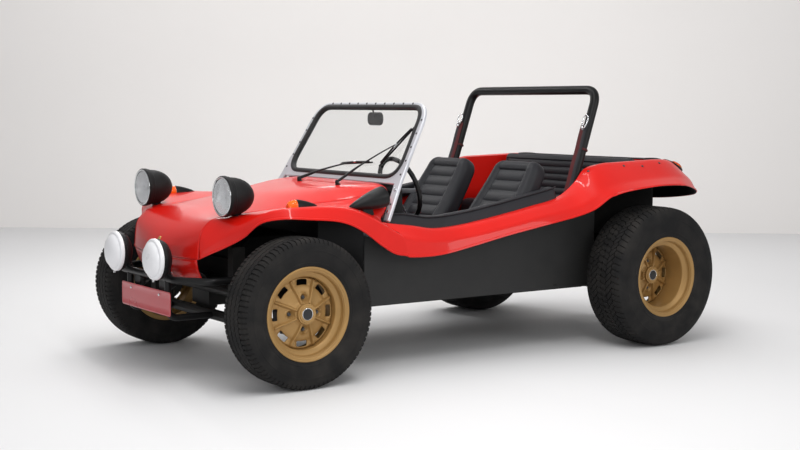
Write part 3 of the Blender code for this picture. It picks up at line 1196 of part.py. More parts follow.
def make_tail_lamps(orange):
    # An oval lens laid along the tail, its foot cut to the body.
    profile = [(a * TAIL_LAMP_RADIUS, r * TAIL_LAMP_RADIUS) for a, r in TAIL_LAMP_PROFILE_SHARES]
    stretch = (TAIL_LAMP_WIDTH_SHARE, TAIL_LAMP_LENGTH / TAIL_LAMP_RADIUS / 2, 1.0, 1.0)
    slope = Matrix.Rotation(-TAIL_LAMP_SLOPE, 4, "X")
    for side, sign in SIDES:
        foot, _ = surface_point("body_tub", sign * TAIL_LAMP_X, TAIL_LAMP_Y)
        base = foot - Vector((0, 0, TAIL_LAMP_RADIUS * TAIL_LAMP_SINK_SHARE))
        item = turned("tail_lamp_" + side, profile, 20, (0, 0, 0), (0, 0, 1))
        item.data.transform(Matrix.Diagonal(stretch))
        item.data.transform(Matrix.Translation(base) @ slope)
        finish(rest_on(item, body_sheet), orange)


def make_door_mirror(black):
    # A bullet shell on a short foot, on the left side only.
    x, y = DOOR_MIRROR_X, DOOR_MIRROR_Y
    start = Vector((x, y - DOOR_MIRROR_LENGTH / 2, DOOR_MIRROR_Z))
    profile = [(a * DOOR_MIRROR_LENGTH, r * DOOR_MIRROR_RADIUS) for a, r in BULLET_PROFILE_SHARES]
    shell = turned("door_mirror", profile, 16, start, (0, 1, DOOR_MIRROR_RISE_SHARE))
    ground, _ = surface_point("body_tub", x, y)
    foot = box("foot", (STALK_RADIUS * 2, DOOR_MIRROR_LENGTH / 3, DOOR_MIRROR_Z - ground.z + 2 * SHELL),
               (x, y, (DOOR_MIRROR_Z + ground.z) / 2 - SHELL))
    return finish(rest_on(fuse("door_mirror", [shell, foot]), body_sheet), black)


def seat_outlines(floor, seat_top):
    # Seen from the side: the upholstered outline, and the hollow between its bolsters.
    ahead, behind = (SEAT_THICKNESS * share for share in SEAT_TOP_SHARES)
    cushion_rear = SEAT_BASE_BACK - SEAT_THICKNESS
    outer = [(SEAT_BASE_FRONT, floor, 0), (SEAT_BASE_FRONT, seat_top + BOLSTER_RISE / 2, 0),
             (cushion_rear, seat_top, 0), (SEAT_BACK_TOP_Y - ahead, SEAT_BACK_TOP_Z, 0),
             (SEAT_BACK_TOP_Y + behind, SEAT_BACK_TOP_Z, 0), (SEAT_BASE_BACK + SEAT_THICKNESS, seat_top, 0),
             (SEAT_BASE_BACK, floor, 0)]
    depth = BOLSTER_RISE * SEAT_HOLLOW_SHARE
    inner = [(SEAT_BASE_FRONT + BOLSTER_RISE, seat_top, 0), (cushion_rear, seat_top - depth, 0),
             (SEAT_BACK_TOP_Y - ahead + depth, SEAT_BACK_TOP_Z - SEAT_THICKNESS, 0),
             (SEAT_BASE_FRONT, SEAT_BACK_TOP_Z, 0)]
    return rounded(outer, SEAT_THICKNESS * SEAT_ROUND_SHARE, closed=True), inner


def make_seat(side, sign, vinyl):
    # Cushion and raked back with raised bolsters, as one upholstered shell.
    floor = PAN_BOTTOM + PAN_THICKNESS + GAP
    seat_top = floor + SEAT_BASE_HEIGHT
    outer, inner = seat_outlines(floor, seat_top)
    body = prism("seat_" + side, outer, SEAT_WIDTH, (sign * SEAT_X, 0, 0), (0, 1, 0), (0, 0, 1))
    wide, narrow = SEAT_WIDTH / 2, SEAT_WIDTH * SEAT_TAPER_SHARE
    left = [(-wide, floor - OVERRUN, 0), (-wide, seat_top + SEAT_THICKNESS, 0)]
    left.append((-narrow, SEAT_BACK_TOP_Z + GAP, 0))
    taper = rounded(left + [(-x, z, 0) for x, z, _ in left[::-1]], SEAT_THICKNESS / 2, closed=True)
    mould = prism("mould", taper, 2 * BODY_HALF_WIDTH, (sign * SEAT_X, 0, 0), (1, 0, 0), (0, 0, 1))
    combine(body, [mould], "INTERSECT")
    body.name = "seat_" + side
    hollow_width = SEAT_WIDTH - 2 * BOLSTER_WIDTH
    hollow = prism("hollow", inner, hollow_width, (sign * SEAT_X, 0, 0), (0, 1, 0), (0, 0, 1))
    return finish(cut(body, [hollow]), vinyl)


def make_bench(vinyl):
    # Rear bench: cushion on the shelf and back against the bulkhead.
    low = REAR_SHELF_Z + TRIM_BOARD + 2 * GAP
    rear = BULKHEAD_Y - SHELL - GAP - OVERRUN
    front = REAR_SHELF_Y + OVERRUN * 2
    corners = [(front, low, 0), (front, low + BENCH_CUSHION, 0),
               (rear - BENCH_THICKNESS * 2, low + BENCH_CUSHION * BENCH_DIP_SHARE, 0),
               (rear - BENCH_THICKNESS, BENCH_TOP, 0), (rear, BENCH_TOP, 0), (rear, low, 0)]
    outline = rounded(corners, BENCH_THICKNESS * BENCH_ROUND_SHARE, closed=True)
    return finish(prism("rear_bench", outline, 2 * BENCH_HALF_WIDTH, (0, 0, 0), (0, 1, 0), (0, 0, 1)), vinyl)


def make_rear_shelf(black):
    # Step and shelf that close the cockpit's floor over the rear axle.
    floor = PAN_BOTTOM + PAN_THICKNESS + GAP
    half = INNER_WALL_X - GAP
    outline = [(REAR_SHELF_Y, floor, 0), (REAR_SHELF_Y, REAR_SHELF_Z + TRIM_BOARD, 0),
               (BULKHEAD_Y - GAP, REAR_SHELF_Z + TRIM_BOARD, 0), (BULKHEAD_Y - GAP, REAR_SHELF_Z, 0),
               (REAR_SHELF_Y + TRIM_BOARD, REAR_SHELF_Z, 0), (REAR_SHELF_Y + TRIM_BOARD, floor, 0)]
    return finish(prism("rear_shelf", outline, 2 * half, (0, 0, 0), (0, 1, 0), (0, 0, 1)), black)


def make_side_pads(vinyl):
    # A padded roll along each sill's top, over the edge of the inner wall.
    rows = inner_rows()[1 : PAD_LAST - COCKPIT_FIRST + 1]
    for side, sign in SIDES:
        path = []
        for row in rows:
            edge = row[-1]
            inset = PAD_RADIUS * math.cos(PAD_SEAT) + PAD_CLEARANCE
            path.append((sign * (edge[0] - inset), edge[1], edge[2] + PAD_RADIUS * math.sin(PAD_SEAT)))
        finish(tube("side_pad_" + side, path, PAD_RADIUS, 12), vinyl)


def make_roll_bar(black):
    floor = PAN_BOTTOM + PAN_THICKNESS + GAP
    left = [(ROLL_FOOT_HALF_WIDTH, ROLL_FOOT_Y, floor), (ROLL_TOP_HALF_WIDTH, ROLL_TOP_Y, ROLL_TOP_Z)]
    left.insert(1, (ROLL_FOOT_HALF_WIDTH, ROLL_FOOT_Y, floor + 2 * ROLL_RADIUS))
    path = left + [(-x, y, z) for x, y, z in left[::-1]]
    return finish(tube("roll_bar", path, ROLL_RADIUS, 12, ROLL_BEND), black)


def steering_frame():
    # The wheel's axis, pointing back and up at the driver.
    axis = Vector((0, math.cos(STEERING_TILT), math.sin(STEERING_TILT)))
    return Vector((STEERING_X, STEERING_Y, STEERING_Z)), axis


def make_steering_wheel(black):
    centre, axis = steering_frame()
    across = Vector((1, 0, 0))
    up = axis.cross(across)
    turns = [2 * math.pi * k / STEERING_STEPS for k in range(STEERING_STEPS)]
    ring = [centre + (across * math.cos(a) + up * math.sin(a)) * STEERING_RADIUS for a in turns]
    rim = tube("steering_wheel", ring, STEERING_RIM, 6, closed=True)
    dish = centre - axis * STEERING_HUB
    hub = rod("hub", dish - axis * STEERING_HUB / 2, dish + axis * STEERING_HUB / 2, STEERING_HUB, 18)
    pieces = [rim, hub]
    for angle in (0.0, math.pi / 2, math.pi):
        ray = across * math.cos(angle) + up * math.sin(angle)
        side = axis.cross(ray)
        rings = []
        for base, reach in ((dish, STEERING_HUB / 2), (centre, STEERING_RADIUS)):
            middle = base + ray * reach
            half_w, half_t = side * SPOKE_WIDTH / 2, axis * SPOKE_THICKNESS / 2
            rings.append([middle - half_w - half_t, middle + half_w - half_t,
                          middle + half_w + half_t, middle - half_w + half_t])
        pieces.append(join_rings("spoke", rings))
    return finish(fuse("steering_wheel", pieces), black)


def make_column(black):
    centre, axis = steering_frame()
    start = centre - axis * (STEERING_HUB + STEERING_HUB / 2 + COLUMN_CLEARANCE)
    reach = (start.y - FOOTWELL_FRONT - TRIM_BOARD - COLUMN_RADIUS) / axis.y
    column = rod("steering_column", start, start - axis * reach, COLUMN_RADIUS, 16)
    hole = rod("hole", start, start - axis * reach, COLUMN_RADIUS + GAP, 16)
    cut(bpy.data.objects["dashboard"], [hole])
    return finish(column, black)


def make_lever(black):
    # Gear lever standing on the tunnel.
    top = PAN_BOTTOM + PAN_THICKNESS + TUNNEL_HEIGHT + GAP
    base = Vector((0, LEVER_Y, top))
    crown = base + Vector((0, LEVER_HEIGHT / 4, LEVER_HEIGHT))
    stick = tube("gear_lever", [base + Vector((0, 0, LEVER_RADIUS)), crown], LEVER_RADIUS, 8)
    boot_profile = [(0, 0), (0, BOOT_RADIUS), (BOOT_HEIGHT, BOOT_RADIUS / 2), (BOOT_HEIGHT, 0)]
    boot = turned("boot", boot_profile, 14, base, (0, 0, 1))
    knob_profile = [(a * KNOB_HEIGHT, r * KNOB_RADIUS) for a, r in KNOB_PROFILE_SHARES]
    knob = turned("knob", knob_profile, 14, crown - Vector((0, 0, LEVER_RADIUS)), (0, 0, 1))
    return finish(fuse("gear_lever", [stick, boot, knob]), black)


def make_deck(black):
    # Padded cover on the flat deck behind the bench.
    rows = inner_rows()[TAIL_FIRST - COCKPIT_FIRST :]
    half = np.array([[row[1] * (1 - t) + row[2] * t for t in DECK_SPAN_SHARES] for row in rows])
    half = half * (DECK_WIDTH_SHARE, 1.0, 1.0) + (0.0, 0.0, GAP * 3)
    whole = np.concatenate((half[:-1], (half * (-1.0, 1.0, 1.0))[::-1]))
    return finish(thick_sheet("rear_deck", [smooth_rows(whole, 1)], TRIM_BOARD, 1.0), black)


def main():
    clear_scene()
    red = make_material("body red", (0.62, 0.012, 0.010), 0.25)
    black = make_material("satin black", (0.02, 0.02, 0.022), 0.55)
    vinyl = make_material("black vinyl", (0.03, 0.03, 0.034), 0.6)
    rubber = make_material("tyre rubber", (0.025, 0.025, 0.025), 0.85)
    gold = make_material("bronze paint", (0.30, 0.18, 0.05), 0.4, 0.6)
    steel = make_material("chassis black", (0.03, 0.03, 0.03), 0.5, 0.3)
    alloy = make_material("engine alloy", (0.35, 0.35, 0.36), 0.45, 0.8)
    silver = make_material("silver frame", (0.70, 0.71, 0.73), 0.35, 0.7)
    white = make_material("lamp white", (0.85, 0.85, 0.85), 0.4)
    amber = make_material("amber lens", (0.75, 0.12, 0.01), 0.2)
    pane = make_material("glass", (0.75, 0.80, 0.80), 0.05)
    make_body(red)
    make_bonnet(red)
    make_valance(red)
    make_side_panels(black)
    make_footwell(black)
    make_floor_pan(steel)
    make_front_beam(steel)
    make_rear_axle(steel)
    make_engine(alloy)
    make_exhaust(steel)
    for side, sign in SIDES:
        make_knuckle(side, sign, steel)
        for end in ("front", "rear"):
            make_rim(end, side, sign, gold)
            make_tyre(end, side, sign, rubber)
        make_headlight(side, sign, black)
        make_spot_lamp(side, sign, white)
        make_seat(side, sign, vinyl)
    make_dashboard(black)
    make_screen(silver, pane)
    make_mirror(black)
    make_wipers(black)
    make_bumper(black)
    make_plate(red)
    make_indicators(black)
    make_tail_lamps(amber)
    make_door_mirror(black)
    make_rear_shelf(black)
    make_bench(vinyl)
    make_deck(black)
    make_side_pads(vinyl)
    make_roll_bar(black)
    make_steering_wheel(black)
    make_column(black)
    make_lever(black)


main()
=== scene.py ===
# Dune buggy, the looks: smooth body, treaded tyres, dished wheels, trimmed cockpit and lamps.
# Metres, +Z up, the front faces -Y and the car's left side is +X.

import math
import json

import bpy
import bmesh
import numpy as np
from mathutils import Matrix, Vector


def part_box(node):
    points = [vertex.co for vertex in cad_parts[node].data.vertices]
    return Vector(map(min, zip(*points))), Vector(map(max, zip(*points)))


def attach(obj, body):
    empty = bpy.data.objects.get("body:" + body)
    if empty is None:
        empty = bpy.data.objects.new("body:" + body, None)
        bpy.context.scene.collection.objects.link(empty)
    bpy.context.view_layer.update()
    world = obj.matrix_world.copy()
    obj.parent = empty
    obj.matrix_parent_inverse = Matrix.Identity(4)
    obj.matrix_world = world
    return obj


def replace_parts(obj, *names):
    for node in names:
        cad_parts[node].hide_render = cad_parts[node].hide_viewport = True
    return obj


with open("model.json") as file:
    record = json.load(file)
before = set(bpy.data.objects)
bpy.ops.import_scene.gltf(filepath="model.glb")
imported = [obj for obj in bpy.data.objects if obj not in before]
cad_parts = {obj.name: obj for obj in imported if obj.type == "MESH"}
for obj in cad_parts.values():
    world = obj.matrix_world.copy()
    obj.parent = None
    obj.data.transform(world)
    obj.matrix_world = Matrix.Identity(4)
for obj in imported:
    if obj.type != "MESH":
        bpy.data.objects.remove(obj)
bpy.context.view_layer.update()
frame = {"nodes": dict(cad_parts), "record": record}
nodes = frame["nodes"]
print("frame loaded:", len(nodes), "nodes")

sides = (("left", 1.0), ("right", -1.0))
xWay, yWay, zWay = np.eye(3)


# Shape tools: a part is a pair of points and quads

def milli(*values):
    # Rows of two numbers given in thousandths, which are millimetres or shares.
    return np.reshape(values, (-1, 2)) / 1000


def unit(vectors):
    # Each vector divided by its length.
    return vectors / np.maximum(np.linalg.norm(vectors, axis=-1, keepdims=True), 1e-12)


def lengths(path):
    # Distance run from the start of a path to each of its points.
    return np.concatenate(([0], np.cumsum(np.linalg.norm(np.diff(path, axis=0), axis=1))))


def catmull(points, steps, last=None):
    # Cubics through the points, the slope at each one half the step between its neighbours. Past
    # the ends the run goes straight on, or to the given last point.
    points = np.asarray(points, float)
    after = points[-1:] * 2 - points[-2:-1] if last is None else np.asarray(last, float)[None]
    padded = np.concatenate((points[:1] * 2 - points[1:2], points, after))
    t = (np.arange(steps) / steps).reshape((1, steps) + (1,) * (points.ndim - 1))
    a, b, c, d = (padded[k : len(points) - 1 + k, None] for k in range(4))
    curve = 0.5 * (2 * b + (c - a) * t + (2 * a - 5 * b + 4 * c - d) * t**2
                   + (3 * b - a - 3 * c + d) * t**3)
    return np.concatenate((curve.reshape((-1,) + points.shape[1:]), points[-1:]))


def gridPart(grid, closeRows=False, closeCols=False):
    # A grid of points, with a quad between each two neighbouring rows and columns.
    rows, cols = grid.shape[:2]
    r = np.arange(rows if closeRows else rows - 1)[:, None]
    c = np.arange(cols if closeCols else cols - 1)[None]
    nextR, nextC = (r + 1) % rows * cols, (c + 1) % cols
    quads = np.stack(np.broadcast_arrays(r * cols + c, r * cols + nextC, nextR + nextC, nextR + c), -1)
    return grid.reshape(-1, 3), quads.reshape(-1, 4)


def joinParts(parts):
    # One part from several, the corners of each counted on from the points before it.
    starts = np.cumsum([0] + [len(points) for points, _ in parts])
    return (np.concatenate([points for points, _ in parts]),
            np.concatenate([quads + start for (_, quads), start in zip(parts, starts)]))


def addPiece(name, part, finish, body="chassis", angle=40.0, closed=True, merge=1e-6):
    # An object from a part: doubles merged, quads turned outwards if it is closed, and edges
    # sharp where they bend by more than the angle.
    mesh = bpy.data.meshes.new(name)
    mesh.from_pydata(part[0].tolist(), [], part[1].tolist())
    tidy = bmesh.new()
    tidy.from_mesh(mesh)
    bmesh.ops.remove_doubles(tidy, verts=tidy.verts, dist=merge)
    bmesh.ops.dissolve_degenerate(tidy, edges=tidy.edges, dist=merge)
    if closed:
        bmesh.ops.recalc_face_normals(tidy, faces=tidy.faces)
    tidy.to_mesh(mesh)
    tidy.free()
    mesh.shade_smooth()
    mesh.set_sharp_from_angle(angle=math.radians(angle))
    mesh.materials.append(look[finish])
    item = bpy.data.objects.new(name, mesh)
    bpy.context.scene.collection.objects.link(item)
    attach(item, body)
    return item


def thicken(item, thickness, offset=-1.0, lining=None):
    # Gives a sheet its wall, inwards or with offset 1 outwards; the far face can have a lining.
    wall = item.modifiers.new("wall", "SOLIDIFY")
    wall.thickness, wall.offset, wall.use_even_offset = thickness, offset, False
    if lining:
        item.data.materials.append(look[lining])
        wall.material_offset = 1


def sweep(path, radius, around=16, reference=zWay, closed=False, flat=1.0):
    # A circle carried along a path, squeezed by flat along the reference.
    path = np.asarray(path, float)
    radius = np.broadcast_to(np.asarray(radius, float), (len(path),))
    if closed:
        tangent = unit(np.roll(path, -1, 0) - np.roll(path, 1, 0))
    else:
        tangent = unit(np.gradient(path, axis=0))
        path = np.concatenate((path[:1], path, path[-1:]))
        tangent = np.concatenate((tangent[:1], tangent, tangent[-1:]))
        radius = np.concatenate(([0.0], radius, [0.0]))
    across = unit(np.cross(tangent, np.asarray(reference, float)))
    up = np.cross(across, tangent) * flat
    a = (np.arange(around) * 2 * math.pi / around)[None, :, None]
    ring = across[:, None] * np.cos(a) + up[:, None] * np.sin(a)
    return gridPart(path[:, None] + ring * radius[:, None, None], closed, True)


def lathe(profile, segments, centre, axis, loop=False):
    # Rows of distance along and radius, turned about an axis; a loop runs back to its start.
    profile = np.asarray(profile, float)
    axis = unit(np.asarray(axis, float))
    side = unit(np.cross(axis, zWay if abs(axis[2]) < 0.9 else xWay))
    a = (np.arange(segments) * 2 * math.pi / segments)[:, None]
    ring = side * np.cos(a) + np.cross(axis, side) * np.sin(a)
    points = np.asarray(centre, float) + profile[:, None, :1] * axis + profile[:, None, 1:] * ring[None]
    return gridPart(points, loop, True)


def rounded(points, radius, steps=5, closed=False):
    # Each corner becomes a parabola that starts and ends where an arc of the radius would.
    points = [np.asarray(p, float) for p in points]
    path = []
    for i, corner in enumerate(points):
        if not closed and i in (0, len(points) - 1):
            path.append(corner[None])
            continue
        before, after = points[i - 1] - corner, points[(i + 1) % len(points)] - corner
        inside = math.acos(float(np.clip(np.dot(unit(before), unit(after)), -1, 1)))
        reach = min(radius / max(math.tan(inside / 2), 1e-3), np.linalg.norm(before) * 0.48,
                    np.linalg.norm(after) * 0.48)
        t = np.linspace(0, 1, steps + 1)[:, None]
        path.append((corner + unit(before) * reach) * (1 - t) ** 2 + corner * 2 * t * (1 - t)
                    + (corner + unit(after) * reach) * t**2)
    return np.concatenate(path)


def resample(path, count, closed=False):
    # The same path with its points at equal distances.
    path = np.asarray(path, float)
    if closed:
        path = np.concatenate((path, path[:1]))
    along = lengths(path)
    places = np.linspace(0, along[-1], count, endpoint=not closed)
    return np.stack([np.interp(places, along, column) for column in path.T], -1)


def prism(outline, thickness, origin, right, up, bevel=0.0):
    # A flat outline given thickness, its two rims drawn in towards the middle by the bevel.
    right, up = unit(np.asarray(right, float)), unit(np.asarray(up, float))
    out = np.cross(right, up)
    inset = outline + unit(outline.mean(0) - outline) * bevel
    half = thickness / 2
    layers = ((inset, -half), (outline, bevel - half), (outline, half - bevel), (inset, half))
    rings = [np.asarray(origin) + o[:, :1] * right + o[:, 1:] * up + out * h for o, h in layers]
    ends = [np.repeat(ring.mean(0)[None], len(outline), 0) for ring in (rings[0], rings[-1])]
    return gridPart(np.stack([ends[0]] + rings + [ends[1]]), False, True)


def boxOutline(halfWide, halfTall, corner, steps=5):
    # A rectangle about the origin with rounded corners.
    signs = np.array(((-1, -1), (1, -1), (1, 1), (-1, 1)))
    return rounded(signs * (halfWide, halfTall), corner, steps, True)


# Finishes: shared effects are node groups, and each finish has its own values.

def setInputs(tree, node, inputs):
    # Links an input to a socket, or sets it to a plain value.
    for label, value in inputs.items():
        if isinstance(value, bpy.types.NodeSocket):
            tree.links.new(value, node.inputs[label])
        else:
            node.inputs[label].default_value = value


def addNode(tree, kind, inputs, **settings):
    # A shader node with its settings and inputs.
    node = tree.nodes.new("ShaderNode" + kind)
    for label, value in settings.items():
        setattr(node, label, value)
    setInputs(tree, node, inputs)
    return node


def times(tree, first, second):
    # The product of two values.
    return addNode(tree, "Math", {0: first, 1: second}, operation="MULTIPLY").outputs[0]


def remap(tree, value, fromLow, fromHigh, toLow, toHigh):
    # A straight line from one range to another, held at its ends.
    return addNode(tree, "MapRange", {"Value": value, "From Min": fromLow, "From Max": fromHigh,
                                      "To Min": toLow, "To Max": toHigh}).outputs["Result"]


def blend(tree, share, first, second):
    # Two colours mixed by a share.
    first, second = ((*c, 1.0) if isinstance(c, tuple) else c for c in (first, second))
    return addNode(tree, "Mix", {0: share, 6: first, 7: second}, data_type="RGBA").outputs[2]


def makeGroup(name, inputs, outputs):
    # An empty node group with its sockets, all of them numbers but the one called Vector.
    group = bpy.data.node_groups.new(name, "ShaderNodeTree")
    for way, labels in (("INPUT", inputs), ("OUTPUT", outputs)):
        for label in labels:
            kind = "NodeSocketVector" if label == "Vector" else "NodeSocketFloat"
            group.interface.new_socket(label, in_out=way, socket_type=kind)
    return group, group.nodes.new("NodeGroupInput").outputs, group.nodes.new("NodeGroupOutput")


def makeGrainGroup():
    # Height from fine noise, mixed with round cells by the pebble's share, and a broad uneven tone.
    group, start, end = makeGroup("surface grain", ("Vector", "Scale", "Pebble"), ("Height", "Tone"))
    place = {"Vector": start["Vector"]}
    fine = addNode(group, "TexNoise", {**place, "Scale": start["Scale"], "Detail": 4.0})
    cells = addNode(group, "TexVoronoi", {**place, "Scale": start["Scale"]})
    broad = addNode(group, "TexNoise", {**place, "Scale": 4.0, "Detail": 5.0})
    mix = addNode(group, "Mix", {0: start["Pebble"], 2: fine.outputs[0], 3: cells.outputs["Distance"]})
    setInputs(group, end, {"Height": mix.outputs[0],
                           "Tone": remap(group, broad.outputs[0], 0.3, 0.7, 0.0, 1.0)})
    return group


def makeDustGroup():
    # Patches times how far a face looks up times nearness to the ground.
    group, start, end = makeGroup("settled dust", ("Vector", "Amount"), ("Mask",))
    patches = addNode(group, "TexNoise", {"Vector": start["Vector"], "Scale": 11.0, "Detail": 8.0})
    normal = addNode(group, "NewGeometry", {}).outputs["Normal"]
    facing = addNode(group, "SeparateXYZ", {0: normal}).outputs["Z"]
    level = addNode(group, "SeparateXYZ", {0: start["Vector"]}).outputs["Z"]
    patchy = times(group, start["Amount"], remap(group, patches.outputs[0], 0.38, 0.72, 0.15, 1.0))
    upward = times(group, patchy, remap(group, facing, -0.2, 1.0, 0.35, 1.0))
    setInputs(group, end, {"Mask": times(group, upward, remap(group, level, 0.0, 0.9, 1.0, 0.45))})
    return group


def makeScuffGroup():
    # The peaks of a noise stretched along the car.
    group, start, end = makeGroup("scuffs", ("Vector", "Amount"), ("Mask",))
    stretch = addNode(group, "Mapping", {"Vector": start["Vector"], "Scale": (9.0, 2.2, 14.0)})
    streaks = addNode(group, "TexNoise", {"Vector": stretch.outputs[0], "Scale": 6.0, "Detail": 9.0,
                                          "Roughness": 0.7})
    sharp = remap(group, streaks.outputs[0], 0.58, 0.74, 0.0, 1.0)
    setInputs(group, end, {"Mask": times(group, sharp, start["Amount"])})
    return group


grainGroup, dustGroup, scuffGroup = makeGrainGroup(), makeDustGroup(), makeScuffGroup()

# Slot, colour, roughness, specular, metallic, coat, grain's scale, pebble's share, depth of the bump
# in millionths of a metre, spread of the tone, dust, scuffs
finishes = {
    "bodyRed": ("body_red", (0.62, 0.008, 0.004), 0.38, 0.22, 0, 0.45, 260, 0, 30, 0.05, 0, 0.05),
    "sideBlack": ("trim_black", (0.016, 0.016, 0.016), 0.45, 0.35, 0, 0, 420, 0, 80, 0.12, 0.05, 0.12),
    "satinBlack": ("trim_black", (0.005, 0.005, 0.0055), 0.36, 0.28, 0, 0, 500, 0, 100, 0.15, 0.03, 0.08),
    "bucketBlack": ("trim_black", (0.006, 0.006, 0.0065), 0.5, 0.22, 0, 0, 500, 0, 100, 0.15, 0.04, 0),
    "chassisBlack": ("chassis_black", (0.004, 0.004, 0.004), 0.5, 0.3, 0.1, 0, 220, 0, 200, 0.25, 0.1, 0.15),
    "shade": ("chassis_black", (0.004, 0.004, 0.004), 0.8, 0.12, 0, 0, 220, 0, 200, 0.2, 0.03, 0),
    "vinyl": ("vinyl_black", (0.013, 0.0133, 0.0165), 0.5, 0.4, 0, 0, 620, 0.85, 220, 0.12, 0.02, 0.05),
    "tyreRubber": ("tyre", (0.0085, 0.0085, 0.009), 0.8, 0.2, 0, 0, 700, 0, 200, 0.25, 0.16, 0.1),
    "rubberSeal": ("trim_black", (0.012, 0.012, 0.013), 0.55, 0.5, 0, 0, 600, 0, 100, 0.1, 0.04, 0),
    "bronze": ("bronze", (0.36, 0.21, 0.07), 0.42, 0.5, 0.35, 0, 900, 0, 60, 0.08, 0.03, 0.04),
    "silver": ("frame_silver", (0.66, 0.67, 0.71), 0.34, 0.5, 0.55, 0, 900, 0, 40, 0.06, 0, 0.1),
    "chrome": ("frame_silver", (0.86, 0.87, 0.88), 0.08, 0.5, 1, 0, 500, 0, 20, 0.04, 0, 0.1),
    "mirrorGrey": ("frame_silver", (0.2, 0.2, 0.21), 0.2, 0.5, 0.5, 0, 500, 0, 20, 0.05, 0, 0),
    "brass": ("frame_silver", (0.6, 0.38, 0.13), 0.3, 0.5, 1, 0, 500, 0, 50, 0.2, 0, 0.2),
    "steelDark": ("trim_black", (0.1, 0.1, 0.105), 0.38, 0.5, 0.9, 0, 500, 0, 60, 0.15, 0, 0.1),
    "engineAlloy": ("engine_alloy", (0.3, 0.3, 0.31), 0.5, 0.5, 0.75, 0, 350, 0, 300, 0.3, 0.1, 0.15),
    "lampWhite": ("lamp_white", (0.82, 0.82, 0.84), 0.3, 0.5, 0, 0.5, 500, 0, 20, 0.02, 0.02, 0),
    # Headlight bowl: near-white and mostly diffuse, a painted reflection in place of a chrome bowl's bright
    # reflections
    "paintedBrightReflector": ("lamp_white", (0.97, 0.97, 0.98), 0.2, 0.5, 0.1, 0, 500, 0, 20, 0.03, 0, 0),
    "plateRed": ("plate_red", (0.46, 0.045, 0.055), 0.3, 0.5, 0, 0.4, 500, 0, 30, 0.05, 0, 0.06),
    "beltRed": ("trim_black", (0.07, 0.008, 0.009), 0.75, 0.5, 0, 0, 900, 0, 300, 0.25, 0, 0),
    "dialFace": ("trim_black", (0.01, 0.01, 0.011), 0.35, 0.5, 0, 0, 500, 0, 20, 0.05, 0, 0),
    # Bright orange for the insides of the unlit amber lamps: a painted glow
    "paintedOrangeGlow": ("lamp_orange", (0.85, 0.2, 0.015), 0.5, 0.5, 0, 0, 500, 0, 100, 0.1, 0, 0),
    "copper": ("lamp_orange", (0.35, 0.06, 0.02), 0.45, 0.5, 0, 0, 500, 0, 100, 0.2, 0, 0),
}
# Slot, tint, roughness, index, depth of the flutes, how close they stand
glasses = {
    "paneGlass": ("glass", (0.97, 0.985, 0.98), 0.0, 1.45, 0.0, 60.0),
    "lensGlass": ("lamp_white", (0.98, 0.99, 1.0), 0.02, 1.35, 0.0015, 32.0),
    "amberLens": ("lamp_orange", (1.0, 0.36, 0.03), 0.1, 1.45, 0.0008, 55.0),
}
ageing = {"dustColour": (0.24, 0.21, 0.18), "dustDulls": 0.35, "scuffLift": 2.2, "scuffDulls": 0.12}
lightThrough = 0.15   # how opaque glass is to a shadow ray


def lighter(colour, gain, plus=0.0):
    # Each channel times the gain, at most 1.
    return tuple(min(c * gain + plus, 1.0) for c in colour)


def newMaterial(name):
    # An empty material, its tree, its shader and the place on the object.
    material = bpy.data.materials.new(name)
    material.use_nodes = True
    tree = material.node_tree
    return material, tree, tree.nodes["Principled BSDF"], addNode(tree, "TexCoord", {}).outputs["Object"]


def makeFinish(name, colour, roughness, specular, metallic, coat, grain, pebble, bump, tone, dust, scuff):
    # Tone varies colour and roughness, then scuffs lighten the colour, then dust covers it, and
    # scuffs and dust add to the roughness.
    material, tree, shader, place = newMaterial(name)
    surface = addNode(tree, "Group", {}, node_tree=grainGroup)
    setInputs(tree, surface, {"Scale": grain, "Pebble": pebble, "Vector": place})
    base = blend(tree, surface.outputs["Tone"], lighter(colour, 1 - tone), lighter(colour, 1 + tone))
    rough = remap(tree, surface.outputs["Tone"], 0.0, 1.0, roughness * 0.88, min(roughness * 1.12, 1.0))
    for group, amount, tint, dull in (
            (scuffGroup, scuff, lighter(colour, ageing["scuffLift"], 0.01), ageing["scuffDulls"]),
            (dustGroup, dust, ageing["dustColour"], ageing["dustDulls"])):
        if amount:
            layer = addNode(tree, "Group", {}, node_tree=group)
            setInputs(tree, layer, {"Amount": amount, "Vector": place})
            mask = layer.outputs["Mask"]
            base = blend(tree, mask, base, tint)
            rough = addNode(tree, "Math", {0: rough, 1: times(tree, mask, dull)}).outputs[0]
    relief = addNode(tree, "Bump", {"Strength": 1.0, "Distance": bump / 1e6,
                                    "Height": surface.outputs["Height"]})
    setInputs(tree, shader, {"Metallic": metallic, "Coat Weight": coat, "Coat Roughness": 0.03,
                             "Specular IOR Level": specular, "Base Color": base, "Roughness": rough,
                             "Normal": relief.outputs["Normal"]})
    return material


def makeGlass(name, colour, roughness, index, wave, closeness):
    # Clear or tinted glass, a little smeared, that lets light through; bands of bump are its flutes.
    material, tree, shader, place = newMaterial(name)
    smear = addNode(tree, "TexNoise", {"Scale": 5.0, "Vector": place})
    shadowRay = addNode(tree, "LightPath", {}).outputs["Is Shadow Ray"]
    setInputs(tree, shader, {
        "Base Color": (*colour, 1.0), "Transmission Weight": 1.0, "IOR": index,
        "Roughness": remap(tree, smear.outputs[0], 0.3, 0.8, roughness, roughness + 0.03),
        "Alpha": remap(tree, shadowRay, 0.0, 1.0, 1.0, lightThrough)})
    if wave:
        flutes = addNode(tree, "TexWave", {"Scale": closeness, "Vector": place}, bands_direction="X")
        relief = addNode(tree, "Bump", {"Distance": wave, "Height": flutes.outputs["Fac"]})
        setInputs(tree, shader, {"Normal": relief.outputs["Normal"]})
    return material


look = {name: makeFinish(name, *values[1:]) for name, values in finishes.items()}
look.update({name: makeGlass(name, *values[1:]) for name, values in glasses.items()})
finishes.update(glasses)
print("finishes made:", len(look))


# Body: the fender strip, its rebate and flange, the cockpit wall and the tail deck

